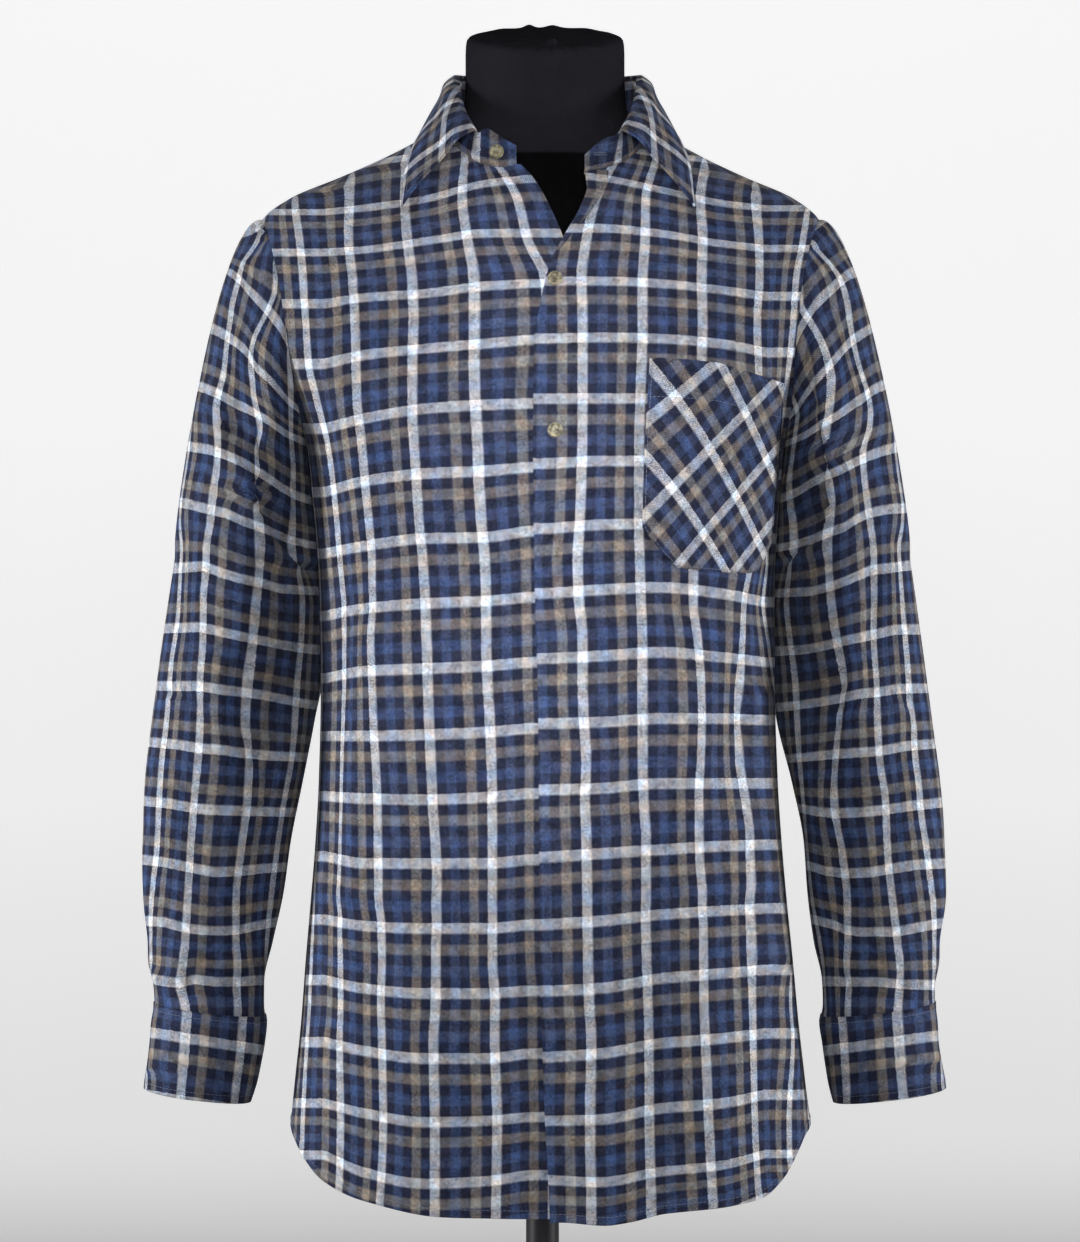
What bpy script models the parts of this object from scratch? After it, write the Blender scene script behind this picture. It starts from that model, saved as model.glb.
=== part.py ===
"""Flannel shirt on a limbless dress form: closed solids in metres, +Z up, front towards -Y."""

import math

import bpy
import numpy as np

# Sizes ------------------------------------------------------------------------------------------
WALL = 0.0016          # cloth wall
BAND_WALL = 0.0018     # collar and cuff wall
SEAM = 0.00025         # half of the gap at a seam
LAP_LIFT = 0.0014      # how far each front moves out or in where they lap
LAP_WIDTH = 0.036      # width of the lap
BUTTON_R = 0.0058      # button radius
BUTTON_T = 0.0024      # button thickness
CORNER_RIGHT = 13.5    # angles from the front middle where the neckline ends
CORNER_LEFT = 20.5
POLE_X = -0.002        # the pole's axis
POLE_R = 0.0132        # pole radius
BASE_R = 0.170         # base radius
BASE_T = 0.014         # base thickness
FORM_BOTTOM = 0.735    # underside of the form
NECK_R = 0.0636        # radius of the form's neck
NECK_SLOPE = 0.29      # rise of the neck's top from front to back
NECK_TOP = 1.5155      # height of the neck's rim at its side
ROWS_LOW = 17          # rows of a front or back below the armhole
ROWS_ARM = 12          # rows along an armhole
FRONT_COLS = 15
BACK_COLS = 24

# Body rows: height, half width, front depth, back depth, front fullness, back fullness, centre x
BODY = (
    (0.540, 0.2085, 0.1300, 0.1240, 2.80, 2.60, 0.0044),
    (0.651, 0.2060, 0.1300, 0.1230, 2.80, 2.60, 0.0044),
    (0.683, 0.2028, 0.1290, 0.1220, 2.80, 2.55, 0.0040),
    (0.731, 0.1976, 0.1280, 0.1200, 2.75, 2.50, 0.0038),
    (0.779, 0.1936, 0.1270, 0.1180, 2.75, 2.50, 0.0034),
    (0.827, 0.1892, 0.1255, 0.1150, 2.70, 2.50, 0.0030),
    (0.875, 0.1852, 0.1245, 0.1130, 2.70, 2.50, 0.0028),
    (0.923, 0.1824, 0.1235, 0.1110, 2.65, 2.45, 0.0026),
    (1.000, 0.1805, 0.1235, 0.1100, 2.60, 2.40, 0.0022),
    (1.080, 0.1812, 0.1245, 0.1110, 2.60, 2.40, 0.0014),
    (1.150, 0.1860, 0.1265, 0.1140, 2.55, 2.40, 0.0008),
    (1.190, 0.1900, 0.1275, 0.1160, 2.50, 2.40, 0.0004),
    (1.215, 0.1995, 0.1275, 0.1170, 2.45, 2.40, 0.0000),
    (1.240, 0.2120, 0.1262, 0.1175, 2.40, 2.35, -0.0012),
    (1.270, 0.2250, 0.1235, 0.1170, 2.35, 2.30, -0.0024),
    (1.300, 0.2320, 0.1190, 0.1150, 2.30, 2.30, -0.0032),
    (1.330, 0.2330, 0.1125, 0.1110, 2.25, 2.20, -0.0036),
    (1.355, 0.2285, 0.1060, 0.1065, 2.15, 2.10, -0.0036),
    (1.3708, 0.2215, 0.1010, 0.1025, 2.05, 2.05, -0.0034),
    (1.3868, 0.2010, 0.0950, 0.0975, 1.95, 2.00, -0.0026),
    (1.4028, 0.1636, 0.0890, 0.0920, 1.90, 1.95, -0.0018),
    (1.4188, 0.1284, 0.0815, 0.0855, 1.90, 1.95, -0.0006),
    (1.4348, 0.0980, 0.0745, 0.0785, 1.95, 1.95, 0.0004),
    (1.4475, 0.0745, 0.0700, 0.0735, 2.00, 2.00, 0.0014),
    (1.4620, 0.0690, 0.0670, 0.0700, 2.00, 2.00, 0.0016),
)
ARMHOLE_LOW = 1.190
SHOULDER_TIP = 1.3700
NECK_SIDE = 1.4475
SIDE_HEM = 0.651
CORNER_ROW = 0.81      # row position of a front's top corner

# Armholes: height, x at the front, x at the back
ARMHOLE = (
    (1.1900, 0.1900, 0.1900),
    (1.1945, 0.1904, 0.1904),
    (1.2010, 0.1911, 0.1911),
    (1.2120, 0.1928, 0.1931),
    (1.2300, 0.1950, 0.1966),
    (1.2600, 0.1975, 0.2010),
    (1.2900, 0.2010, 0.2055),
    (1.3200, 0.2058, 0.2095),
    (1.3450, 0.2118, 0.2142),
    (1.3600, 0.2172, 0.2182),
    (1.3700, 0.2219, 0.2219),
)

# Fronts' free edges: height, x
EDGE_LEFT = (
    (0.560, 0.0040), (0.587, 0.0038), (0.625, 0.0023), (0.666, 0.0000), (0.721, -0.0019),
    (0.790, -0.0038), (0.990, -0.0054), (1.066, -0.0077), (1.189, -0.0092), (1.262, -0.0084),
    (1.281, -0.0061), (1.304, -0.0015), (1.3156, 0.0008), (1.344, 0.0140), (1.3695, 0.0280),
    (1.3870, 0.0335), (1.4010, 0.0335),
)
EDGE_RIGHT = (
    (0.560, 0.0240), (0.587, 0.0240), (0.700, 0.0255), (0.900, 0.0270), (1.100, 0.0270),
    (1.250, 0.0270), (1.300, 0.0255), (1.330, 0.0195), (1.353, 0.0116), (1.379, 0.0000),
    (1.3965, -0.0110), (1.4060, -0.0200),
)

# Hems: angle from the front middle, height
HEM_RIGHT = ((-20, 0.5915), (0, 0.5920), (15, 0.5922), (33, 0.5932), (53, 0.6038), (63, 0.6162),
             (69, 0.6296), (75, 0.6424), (82, 0.6500), (90, 0.6510))
HEM_LEFT = ((-5, 0.5895), (3, 0.5899), (18, 0.5876), (26, 0.5899), (35, 0.5954), (49, 0.5992),
            (58, 0.6036), (64, 0.6155), (70.5, 0.6373), (75, 0.6475), (82, 0.6506), (90, 0.6510))
HEM_BACK = ((90, 0.6510), (98, 0.6400), (107, 0.6200), (120, 0.5960), (140, 0.5780), (160, 0.5720),
            (180, 0.5710))

# Neckline: angle from the front middle, height
NECK_EDGE = ((12, 1.4062), (20, 1.4035), (29, 1.4060), (40, 1.4150), (55, 1.4290), (70, 1.4410),
             (80, 1.4455), (90, 1.4475), (110, 1.4490), (140, 1.4510), (180, 1.4520))
NECK_EDGE_LEFT = ((12, 1.3980), (20, 1.3985), (29, 1.4010), (40, 1.4085), (55, 1.4260), (70, 1.4395),
                  (80, 1.4450), (90, 1.4475))

# Sleeves: height, the wearer's left sleeve's outer x, inner x, the right one's outer x, inner x,
# half depth, centre y, tilt, how far the inner side lies forward
SLEEVE = (
    (1.100, 0.2906, 0.1826, 0.2946, 0.1802, 0.0660, -0.004, 0.20, -0.050),
    (1.060, 0.2960, 0.1822, 0.3006, 0.1792, 0.0650, -0.006, 0.18, -0.056),
    (1.019, 0.3016, 0.1822, 0.3064, 0.1792, 0.0635, -0.008, 0.16, -0.052),
    (0.971, 0.3077, 0.1872, 0.3125, 0.1862, 0.0600, -0.010, 0.15, -0.030),
    (0.923, 0.3139, 0.1976, 0.3179, 0.1941, 0.0555, -0.012, 0.14, -0.008),
    (0.875, 0.3177, 0.2066, 0.3201, 0.2030, 0.0515, -0.014, 0.14, 0.000),
    (0.835, 0.3185, 0.2094, 0.3192, 0.2085, 0.0480, -0.015, 0.13, 0.000),
    (0.795, 0.3132, 0.2145, 0.3152, 0.2172, 0.0445, -0.016, 0.13, 0.000),
    (0.763, 0.3098, 0.2211, 0.3112, 0.2240, 0.0410, -0.017, 0.13, 0.000),
    (0.745, 0.3092, 0.2216, 0.3096, 0.2241, 0.0400, -0.018, 0.13, 0.000),
    (0.731, 0.3106, 0.2196, 0.3116, 0.2226, 0.0400, -0.018, 0.13, 0.000),
    (0.715, 0.3114, 0.2218, 0.3128, 0.2242, 0.0400, -0.018, 0.13, 0.000),
    (0.699, 0.3140, 0.2240, 0.3146, 0.2270, 0.0398, -0.019, 0.13, 0.000),
    (0.683, 0.3168, 0.2266, 0.3170, 0.2304, 0.0395, -0.019, 0.13, 0.000),
    (0.667, 0.3180, 0.2306, 0.3180, 0.2355, 0.0392, -0.019, 0.13, 0.000),
    (0.650, 0.3190, 0.2345, 0.3190, 0.2402, 0.0390, -0.019, 0.13, 0.000),
)
SLEEVE_TOP = 1.100
CUFF_SEAM = 0.7425
CUFF_END = 0.6740
CAP_END = 0.35         # pull at the end of the cap, as a share of its length
CAP_ROWS = 9
ARM_ROWS = 14
CUFF_ROWS = 3

# Start and end pull of the cap at its top, front, bottom and back: (x, y, z)
CAP_PULL = (
    (0.100, 0.000, 0.020),
    (0.040, -0.010, -0.120),
    (-0.004, 0.080, -0.040),
    (0.040, 0.010, -0.120),
)

# Overlap fold of each sleeve by the underarm: angle round (0 outer, 90 front, 180 inner), height
FOLD_RIGHT = ((40, 1.222), (62, 1.192), (83, 1.176), (93, 1.160), (98, 1.144), (109, 1.121),
              (124, 1.104), (145, 1.086), (165, 1.075))
FOLD_LEFT = ((70, 1.285), (85, 1.255), (95, 1.205), (99, 1.150), (110, 1.121), (130, 1.104),
             (150, 1.088), (170, 1.078))
# Soft sleeve folds: height, angle round, depth, half height, half angle, lean in metres a degree
SLEEVE_FOLDS = {
    -1: ((1.120, 62, 0.0022, 0.040, 30, -0.0006), (0.980, 128, -0.0030, 0.030, 26, 0.0004),
         (0.900, 60, -0.0020, 0.016, 50, 0.0003), (0.845, 120, -0.0020, 0.014, 40, -0.0003),
         (0.779, 95, 0.0030, 0.011, 110, 0.0000), (0.757, 95, -0.0022, 0.007, 90, 0.0000),
         (1.150, 250, -0.0040, 0.030, 30, 0.0010), (0.950, 250, -0.0030, 0.022, 40, 0.0003),
         (0.870, 290, -0.0022, 0.018, 50, 0.0003)),
    1: ((1.060, 68, -0.0032, 0.052, 11, 0.0000), (1.045, 47, 0.0020, 0.050, 15, 0.0000),
        (0.990, 130, -0.0030, 0.030, 26, 0.0004), (0.890, 70, -0.0020, 0.018, 46, 0.0003),
        (0.835, 115, -0.0020, 0.014, 40, -0.0003), (0.779, 95, 0.0030, 0.011, 110, 0.0000),
        (0.757, 95, -0.0022, 0.007, 90, 0.0000), (1.140, 245, -0.0040, 0.030, 30, 0.0010),
        (0.940, 255, -0.0030, 0.022, 40, 0.0003), (0.860, 290, -0.0022, 0.018, 50, 0.0003)),
}

# Collar, half a round: fold x, y, z; leaf edge x, y, z; outward swell of the leaf
COLLAR = (
    (0.0000, 0.0740, 1.4930, 0.0000, 0.1060, 1.4520, 0.0060),
    (0.0360, 0.0650, 1.4925, 0.0520, 0.0935, 1.4505, 0.0060),
    (0.0610, 0.0420, 1.4905, 0.0860, 0.0600, 1.4480, 0.0055),
    (0.0728, 0.0080, 1.4862, 0.0975, 0.0070, 1.4400, 0.0045),
    (0.0714, -0.0250, 1.4712, 0.1050, -0.0480, 1.4250, 0.0045),
    (0.0665, -0.0560, 1.4525, 0.1100, -0.0850, 1.4025, 0.0050),
    (0.0550, -0.0900, 1.4300, 0.1125, -0.1170, 1.3680, 0.0060),
)
COLLAR_ANGLES = (180, 151, 125, 96, 71, 50, 31.5)
COLLAR_X = 0.0024      # middle of the collar
BAND_END = 0.0265      # height of the band's front ends
LEAF_COLS = 30
LEAF_ROWS = 6

# Pocket outline on the wearer's left front: x and height, round from the top inner corner
POCKET = ((0.0800, 1.2520), (0.1085, 1.2510), (0.1330, 1.2490), (0.1560, 1.2430), (0.1838, 1.2360),
          (0.1815, 1.1800), (0.1750, 1.1120), (0.1640, 1.0900), (0.1560, 1.0870), (0.1300, 1.0880),
          (0.1010, 1.0910), (0.0875, 1.1050), (0.0740, 1.1220), (0.0760, 1.1850))
POCKET_COLS = 11
POCKET_ROWS = 10

# Dress form rows: height, half width, front depth, back depth
FORM = (
    (0.735, 0.1460, 0.0900, 0.0880), (0.745, 0.1560, 0.0980, 0.0960),
    (0.800, 0.1620, 0.1020, 0.0990), (0.880, 0.1570, 0.0980, 0.0930),
    (0.960, 0.1500, 0.0940, 0.0880), (1.040, 0.1540, 0.0980, 0.0900),
    (1.120, 0.1640, 0.1080, 0.0980), (1.190, 0.1740, 0.1160, 0.1060),
    (1.250, 0.1840, 0.1165, 0.1090), (1.300, 0.1900, 0.1110, 0.1070),
    (1.340, 0.1930, 0.1020, 0.1010), (1.3600, 0.1930, 0.0955, 0.0960),
    (1.3720, 0.1880, 0.0905, 0.0920), (1.3868, 0.1740, 0.0850, 0.0870),
    (1.4028, 0.1440, 0.0795, 0.0815), (1.4188, 0.1130, 0.0735, 0.0755),
    (1.4300, 0.0920, 0.0690, 0.0710), (1.4400, 0.0760, 0.0655, 0.0680),
    (1.4520, 0.0665, 0.0642, 0.0655), (1.4700, 0.0640, 0.0636, 0.0640),
)
FORM_COLS = 32


# Curves -----------------------------------------------------------------------------------------
def curve(rows, at, column=1):
    """Smooth curve through one column of a table."""
    table = np.asarray(rows, float)
    x = table[:, 0]
    y = table[:, column]
    at = np.clip(np.asarray(at, float), x[0], x[-1])
    step = np.diff(x)
    rise = np.diff(y) / step
    slope = np.empty_like(y)
    slope[0] = rise[0]
    slope[-1] = rise[-1]
    same = rise[:-1] * rise[1:] > 0
    mean = 2 * rise[:-1] * rise[1:] / np.where(same, rise[:-1] + rise[1:], 1.0)
    slope[1:-1] = np.where(same, mean, 0.0)
    i = np.clip(np.searchsorted(x, at, side="right") - 1, 0, len(x) - 2)
    t = (at - x[i]) / step[i]
    a = y[i] * (1 + 2 * t) * (1 - t) ** 2 + y[i + 1] * t * t * (3 - 2 * t)
    return a + step[i] * t * (1 - t) * (slope[i] * (1 - t) - slope[i + 1] * t)


def falling(rows):
    return tuple(sorted(rows, key=lambda row: row[0]))


def smooth(t):
    t = np.clip(t, 0.0, 1.0)
    return t * t * (3 - 2 * t)


def unit(v):
    return v / np.maximum(np.linalg.norm(v, axis=-1, keepdims=True), 1e-12)


# Body surface -----------------------------------------------------------------------------------
def body_point(angle, z):
    """Point of the shirt's body at an angle from the front middle (degrees, + to +X) and a height."""
    a = np.radians(angle)
    s = np.sin(a)
    c = np.cos(a)
    width = curve(BODY, z, 1)
    front = c > 0
    depth = np.where(front, curve(BODY, z, 2), curve(BODY, z, 3))
    full = np.where(front, curve(BODY, z, 4), curve(BODY, z, 5))
    r = (np.abs(s / width) ** full + np.abs(c / depth) ** full) ** (-1.0 / full)
    return np.stack([r * s + curve(BODY, z, 6), -r * c, z + 0 * r], -1)


def body_normal(angle, z):
    da = body_point(angle + 1.5, z) - body_point(angle - 1.5, z)
    dz = body_point(angle, z + 0.002) - body_point(angle, z - 0.002)
    return unit(np.cross(da, dz))


def wide_half(z):
    """Half width of a body that doesn't narrow above the armholes, used to spread the grid."""
    width = curve(BODY, z, 1)
    return width + (0.2380 - width) * smooth((np.asarray(z, float) - 1.25) / 0.06)


def body_angle(x, z, back=False, wide=False):
    """Angle of the body point at a given x and height."""
    width = wide_half(z) if wide else curve(BODY, z, 1)
    depth = curve(BODY, z, 3 if back else 2)
    full = curve(BODY, z, 5 if back else 4)
    off = np.asarray(x, float) - curve(BODY, z, 6)
    y = depth * np.maximum(1 - np.abs(off / width) ** full, 0.0) ** (1 / full)
    return np.degrees(np.arctan2(off, -y if back else y))


def wide_to_body(angle, z, back=False):
    """Turns an angle on the unnarrowed body into the angle on the body itself."""
    a = np.radians(angle)
    depth = curve(BODY, z, 3 if back else 2)
    full = curve(BODY, z, 5 if back else 4)
    s = np.sin(a)
    r = (np.abs(s / wide_half(z)) ** full + np.abs(np.cos(a) / depth) ** full) ** (-1.0 / full)
    out = body_angle(r * s + curve(BODY, z, 6), z, back)
    return np.where(out < 0, out + 360, out) if back else out


def armhole_x(z, back=False):
    x = curve(ARMHOLE, z, 2 if back else 1)
    return np.where(np.asarray(z) <= ARMHOLE_LOW, curve(BODY, z, 1), x)


def armhole_angle(z, back=False, wide=False):
    """Angle of the armhole's edge on the +X side."""
    x = np.minimum(armhole_x(z, back), curve(BODY, z, 1) if not wide else 1.0)
    return body_angle(x + curve(BODY, z, 6), z, back, wide)


# Panels -----------------------------------------------------------------------------------------
def patch(bottom, top, left, right, cols, rows):
    """Blends four edge curves, each a function of 0 to 1 giving (angle, height), into a grid."""
    u = np.linspace(0, 1, cols)[None, :, None]
    v = rows[:, None, None]
    b = bottom(u[0, :, 0])[None]
    t = top(u[0, :, 0])[None]
    l = left(v[:, 0, 0])[:, None]
    r = right(v[:, 0, 0])[:, None]
    flat = (1 - v) * b + v * t + (1 - u) * l + u * r
    corner = (1 - u) * (1 - v) * b[:, :1] + u * (1 - v) * b[:, -1:]
    corner = corner + (1 - u) * v * t[:, :1] + u * v * t[:, -1:]
    return flat - corner


def panel_rows(low=ROWS_LOW, arm=ROWS_ARM):
    """Row positions from 0 to 1, with the armhole in the last part."""
    t = np.linspace(0, 1, arm + 1)[1:]
    eased = 0.2 * t + 0.8 * (0.5 - 0.5 * np.cos(np.pi * t))
    return np.concatenate([np.linspace(0, 0.62, low + 1), 0.62 + 0.38 * eased])


def arm_height(v):
    """Height of the side edge at a row position: side seam, then armhole."""
    side = SIDE_HEM + (ARMHOLE_LOW - SIDE_HEM) * np.clip(v / 0.62, 0, 1)
    return np.where(v < 0.62, side, ARMHOLE_LOW + (SHOULDER_TIP - ARMHOLE_LOW) * (v - 0.62) / 0.38)


def neck_point(angle, left=False):
    """Point of the neckline at an angle from the front middle, on the +X side."""
    angle = np.asarray(angle, float)
    z = curve(NECK_EDGE, angle)
    if left:
        z = np.where(angle < 90, curve(NECK_EDGE_LEFT, angle), z)
    return body_point(angle, z)


def side_line(v, back=False):
    z = arm_height(v)
    a = np.where(v < 0.62, 90.0, armhole_angle(z, back, True))
    return np.stack([a, z], -1)


def ridge_line(t, back=False):
    """Shoulder seam from the neck (0) to the tip (1)."""
    z = NECK_SIDE + (SHOULDER_TIP - NECK_SIDE) * t
    x = curve(BODY, z, 1) + curve(BODY, z, 6)
    return np.stack([body_angle(x, z, back, True), z], -1)


def neck_line(t, first, last, left=False, back=False):
    """Neckline between two angles as (angle, height) on the unnarrowed body."""
    p = neck_point(first + (last - first) * t, left)
    return np.stack([body_angle(p[..., 0], p[..., 2], back, True), p[..., 2]], -1)


def front_grid(side, cols=FRONT_COLS, rows=None):
    """(angle, height) grid of a front: side is +1 for the wearer's left, which laps over."""
    rows = panel_rows() if rows is None else rows
    left = side > 0
    edge = EDGE_LEFT if left else EDGE_RIGHT
    hem = HEM_LEFT if left else HEM_RIGHT
    first = CORNER_LEFT if left else CORNER_RIGHT
    corner = neck_line(np.zeros(1), first, 90, left)[0]
    corner_x = neck_point(first, left)[0]
    hem_a = float(mirror_angle(float(curve(edge, 0.588)), 0.588, side))

    def hem_line(u):
        a = hem_a + (90 - hem_a) * u ** 0.95
        return np.stack([a, curve(hem, a)], -1)

    def edge_line(v):
        low = float(curve(hem, hem_a))
        up = np.clip((v - 0.62) / (CORNER_ROW - 0.62), 0, 1) ** 0.55
        z = np.where(v < 0.62, low + (ARMHOLE_LOW - low) * v / 0.62,
                     ARMHOLE_LOW + (corner[1] - ARMHOLE_LOW) * up)
        x = curve(edge, z)
        x = x + (side * corner_x - float(curve(edge, corner[1]))) * smooth((z - 1.375) / 0.025)
        free = np.stack([mirror_angle(x, z, side), z], -1)
        t = np.clip((v - CORNER_ROW) / (1 - CORNER_ROW), 0, 1)
        neck = neck_line(t, first, 90, left)
        return np.where((v <= CORNER_ROW)[:, None], free, neck)

    grid = patch(hem_line, ridge_line, edge_line, side_line, cols, rows)
    grid[..., 0] = wide_to_body(grid[..., 0], grid[..., 1])
    return grid


def mirror_angle(x, z, side):
    """Angle, counted towards the front's own side, of the point at x."""
    middle = curve(BODY, z, 6)
    return body_angle(middle + side * (x - middle), z, False, True)


def lap_lift(x, z, side):
    """Offset that keeps the lapping fronts apart near the middle."""
    edge = curve(EDGE_LEFT, z) if side > 0 else curve(EDGE_RIGHT, z)
    reach = np.abs(x - edge)
    return side * LAP_LIFT * (1 - smooth((reach - LAP_WIDTH) / 0.03))


def front_surface(side, grid, inset=True):
    a = grid[..., 0].copy()
    z = grid[..., 1]
    if inset:
        a[z[:, -1] <= ARMHOLE_LOW + 1e-6, -1] -= math.degrees(SEAM / 0.18)
        a[-1, :] = np.where(a[-1, :] > 89, 90 - math.degrees(SEAM / 0.09), a[-1, :])
    p = body_point(a * side, z)
    n = body_normal(a * side, z)
    return p + n * lap_lift(p[..., 0], z, side)[..., None], n


def back_grid(cols=BACK_COLS, rows=None):
    rows = panel_rows() if rows is None else rows

    def hem_line(u):
        a = 90 + 180 * u
        return np.stack([a, curve(HEM_BACK, 180 - np.abs(a - 180))], -1)

    def half_top(u):
        split = 0.52
        ridge = ridge_line(1 - np.clip(u / split, 0, 1), True)
        neck = neck_line(np.clip((u - split) / (1 - split), 0, 1), 90, 180, False, True)
        return np.where((u < split)[:, None], ridge, neck)

    def top_line(u):
        first = half_top(np.clip(2 * u, 0, 1))
        second = half_top(np.clip(2 - 2 * u, 0, 1))
        second[:, 0] = 360 - second[:, 0]
        return np.where((u < 0.5)[:, None], first, second)

    def other_side(v):
        line = side_line(v, True)
        line[:, 0] = 360 - line[:, 0]
        return line

    grid = patch(hem_line, top_line, lambda v: side_line(v, True), other_side, cols, rows)
    half = np.where(grid[..., 0] > 180, 360 - grid[..., 0], grid[..., 0])
    turned = wide_to_body(half, grid[..., 1], True)
    grid[..., 0] = np.where(grid[..., 0] > 180, 360 - turned, turned)
    return grid


def back_surface(grid, inset=True):
    a = grid[..., 0].copy()
    z = grid[..., 1]
    if inset:
        low = z[:, 0] <= ARMHOLE_LOW + 1e-6
        a[low, 0] += math.degrees(SEAM / 0.18)
        a[low, -1] -= math.degrees(SEAM / 0.18)
        top = a[-1]
        d = math.degrees(SEAM / 0.09)
        a[-1] = np.where(top < 91, 90 + d, np.where(top > 269, 270 - d, top))
    return body_point(a, z), body_normal(a, z)


# Sleeves ----------------------------------------------------------------------------------------
def sleeve_ring(side, theta, z0, grow=0.0):
    """Ring of a sleeve, as if on +X, at a height: theta 0 outer, 90 front, 180 inner (degrees)."""
    t = np.radians(theta)
    table = falling(SLEEVE)
    first = 1 if side > 0 else 3
    tilt = curve(table, z0, 7)
    half = 0.5 * (curve(table, z0, first) - curve(table, z0, first + 1))
    z = z0 + tilt * half * np.cos(t)
    outer = curve(table, z0 + tilt * half, first) + grow
    inner = curve(table, z0 - tilt * half, first + 1) - grow
    c = np.cos(t)
    s = np.sin(t)
    mid = 0.5 * (outer + inner)
    x = mid + 0.5 * (outer - inner) * np.sign(c) * np.abs(c) ** 0.92
    y = curve(table, z0, 6) - (curve(table, z0, 5) + grow) * np.sign(s) * np.abs(s) ** 0.94
    y = y - curve(table, z0, 8) * smooth(-c)
    return np.stack([x, y, z], -1)


def folded(theta, z, side):
    """How far the folds move sleeve points out."""
    push = np.zeros(np.broadcast(theta, z).shape)
    for height, angle, depth, tall, wide, lean in SLEEVE_FOLDS[side]:
        turn = (theta - angle + 180) % 360 - 180
        push = push + depth * np.exp(-((z - height - lean * turn) / tall) ** 2 - (turn / wide) ** 2)
    line = FOLD_LEFT if side > 0 else FOLD_RIGHT
    over = z - curve(line, theta)
    ends = smooth((theta - line[0][0]) / 25) * smooth((line[-1][0] - theta) / 30)
    ridge = 0.0030 * np.exp(-((over + 0.012) / 0.014) ** 2)
    dip = -0.0075 * smooth((over + 0.004) / 0.012) * np.exp(-(np.maximum(over, 0) / 0.045) ** 2)
    return push + (ridge + dip) * ends


def armhole_loop(side, rows, gap):
    """Armhole points on +X where the sleeve starts: from the tip down the front, under and up the back."""
    v = rows[rows >= 0.6199]
    z = arm_height(v)
    front = body_point(armhole_angle(z), z)
    back = body_point(armhole_angle(z, True), z)
    loop = np.concatenate([front[::-1], back[1:-1]])
    loop[:, 0] += (side - 1) * curve(BODY, loop[:, 2], 6)
    low = smooth((1.330 - loop[:, 2]) / 0.10)
    under = smooth((1.205 - loop[:, 2]) / 0.012)
    shift = np.zeros_like(loop)
    shift[:, 0] = gap * (1.2 + 1.7 * low + 0.4 * under)
    shift[:, 2] = gap * 0.6 * under
    return loop + shift


def sleeve_grid(side, rows=None, cap=CAP_ROWS, arm=ARM_ROWS, gap=0.0010):
    rows = panel_rows() if rows is None else rows
    loop = armhole_loop(side, rows, gap)
    n = len(loop)
    theta = np.linspace(0, 360, n, endpoint=False)
    end = sleeve_ring(side, theta, np.full(n, SLEEVE_TOP))
    pull = np.asarray(CAP_PULL + CAP_PULL[:1], float)
    k = theta / 90.0
    i = np.minimum(k.astype(int), 3)
    f = smooth(k - i)[:, None]
    start_pull = pull[i] * (1 - f) + pull[i + 1] * f
    down = sleeve_ring(side, theta, np.full(n, SLEEVE_TOP - 0.01)) - end
    end_pull = down / 0.01 * np.linalg.norm(end - loop, axis=1)[:, None] * CAP_END
    t = np.linspace(0, 1, cap + 1)[:, None, None] ** 1.15
    grid = (2 * t ** 3 - 3 * t ** 2 + 1) * loop + (t ** 3 - 2 * t ** 2 + t) * start_pull
    grid = grid + (3 * t ** 2 - 2 * t ** 3) * end + (t ** 3 - t ** 2) * end_pull
    levels = np.linspace(SLEEVE_TOP, CUFF_SEAM, arm + 1)[1:]
    lower = [sleeve_ring(side, theta, np.full(n, z)) for z in levels]
    p = np.concatenate([grid, np.stack(lower)])
    level = np.concatenate([np.full(cap + 1, 0.0), np.linspace(0, 1, arm + 1)[1:]])
    push = folded(theta[None, :], p[..., 2], side)
    away = smooth(np.linspace(0, 1, cap + 1) / 0.6)
    hold = np.concatenate([away, np.ones(arm)])[:, None]
    hold = hold * smooth((1 - level[:, None]) / 0.06 + 0.0)
    n_out = loop_normals(p)
    inner = smooth((np.abs(theta - 180) - 20) / 40.0)[None, :]
    p = p + n_out * (push * hold * inner)[..., None]
    return p


def loop_normals(p):
    """Outward normals of a tube grid whose columns close on themselves."""
    across = np.roll(p, -1, 1) - np.roll(p, 1, 1)
    along = np.gradient(p, axis=0)
    return unit(np.cross(across, along))


def sheet_normals(p):
    return unit(np.cross(np.gradient(p, axis=1), np.gradient(p, axis=0)))


def mirrored(p, side):
    q = p.copy()
    q[..., 0] *= side
    return q


# Collar -----------------------------------------------------------------------------------------
def collar_line(t, first):
    """Point of the collar table at t from -1 (wearer's right end) to 1 (left end)."""
    k = np.abs(t) * (len(COLLAR) - 1)
    keyed = tuple((float(i),) + row for i, row in enumerate(COLLAR))
    pts = [curve(keyed, k, first + 1 + j) for j in range(3)]
    sign = np.where(t < 0, -1.0, 1.0)
    return np.stack([pts[0] * sign + COLLAR_X, pts[1], pts[2]], -1)


def inward_at(p):
    """Level unit vectors from points of the collar towards its middle."""
    return unit((np.array([COLLAR_X, 0.0, 0.0]) - p) * np.array([1.0, 1.0, 0.0]))


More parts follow.
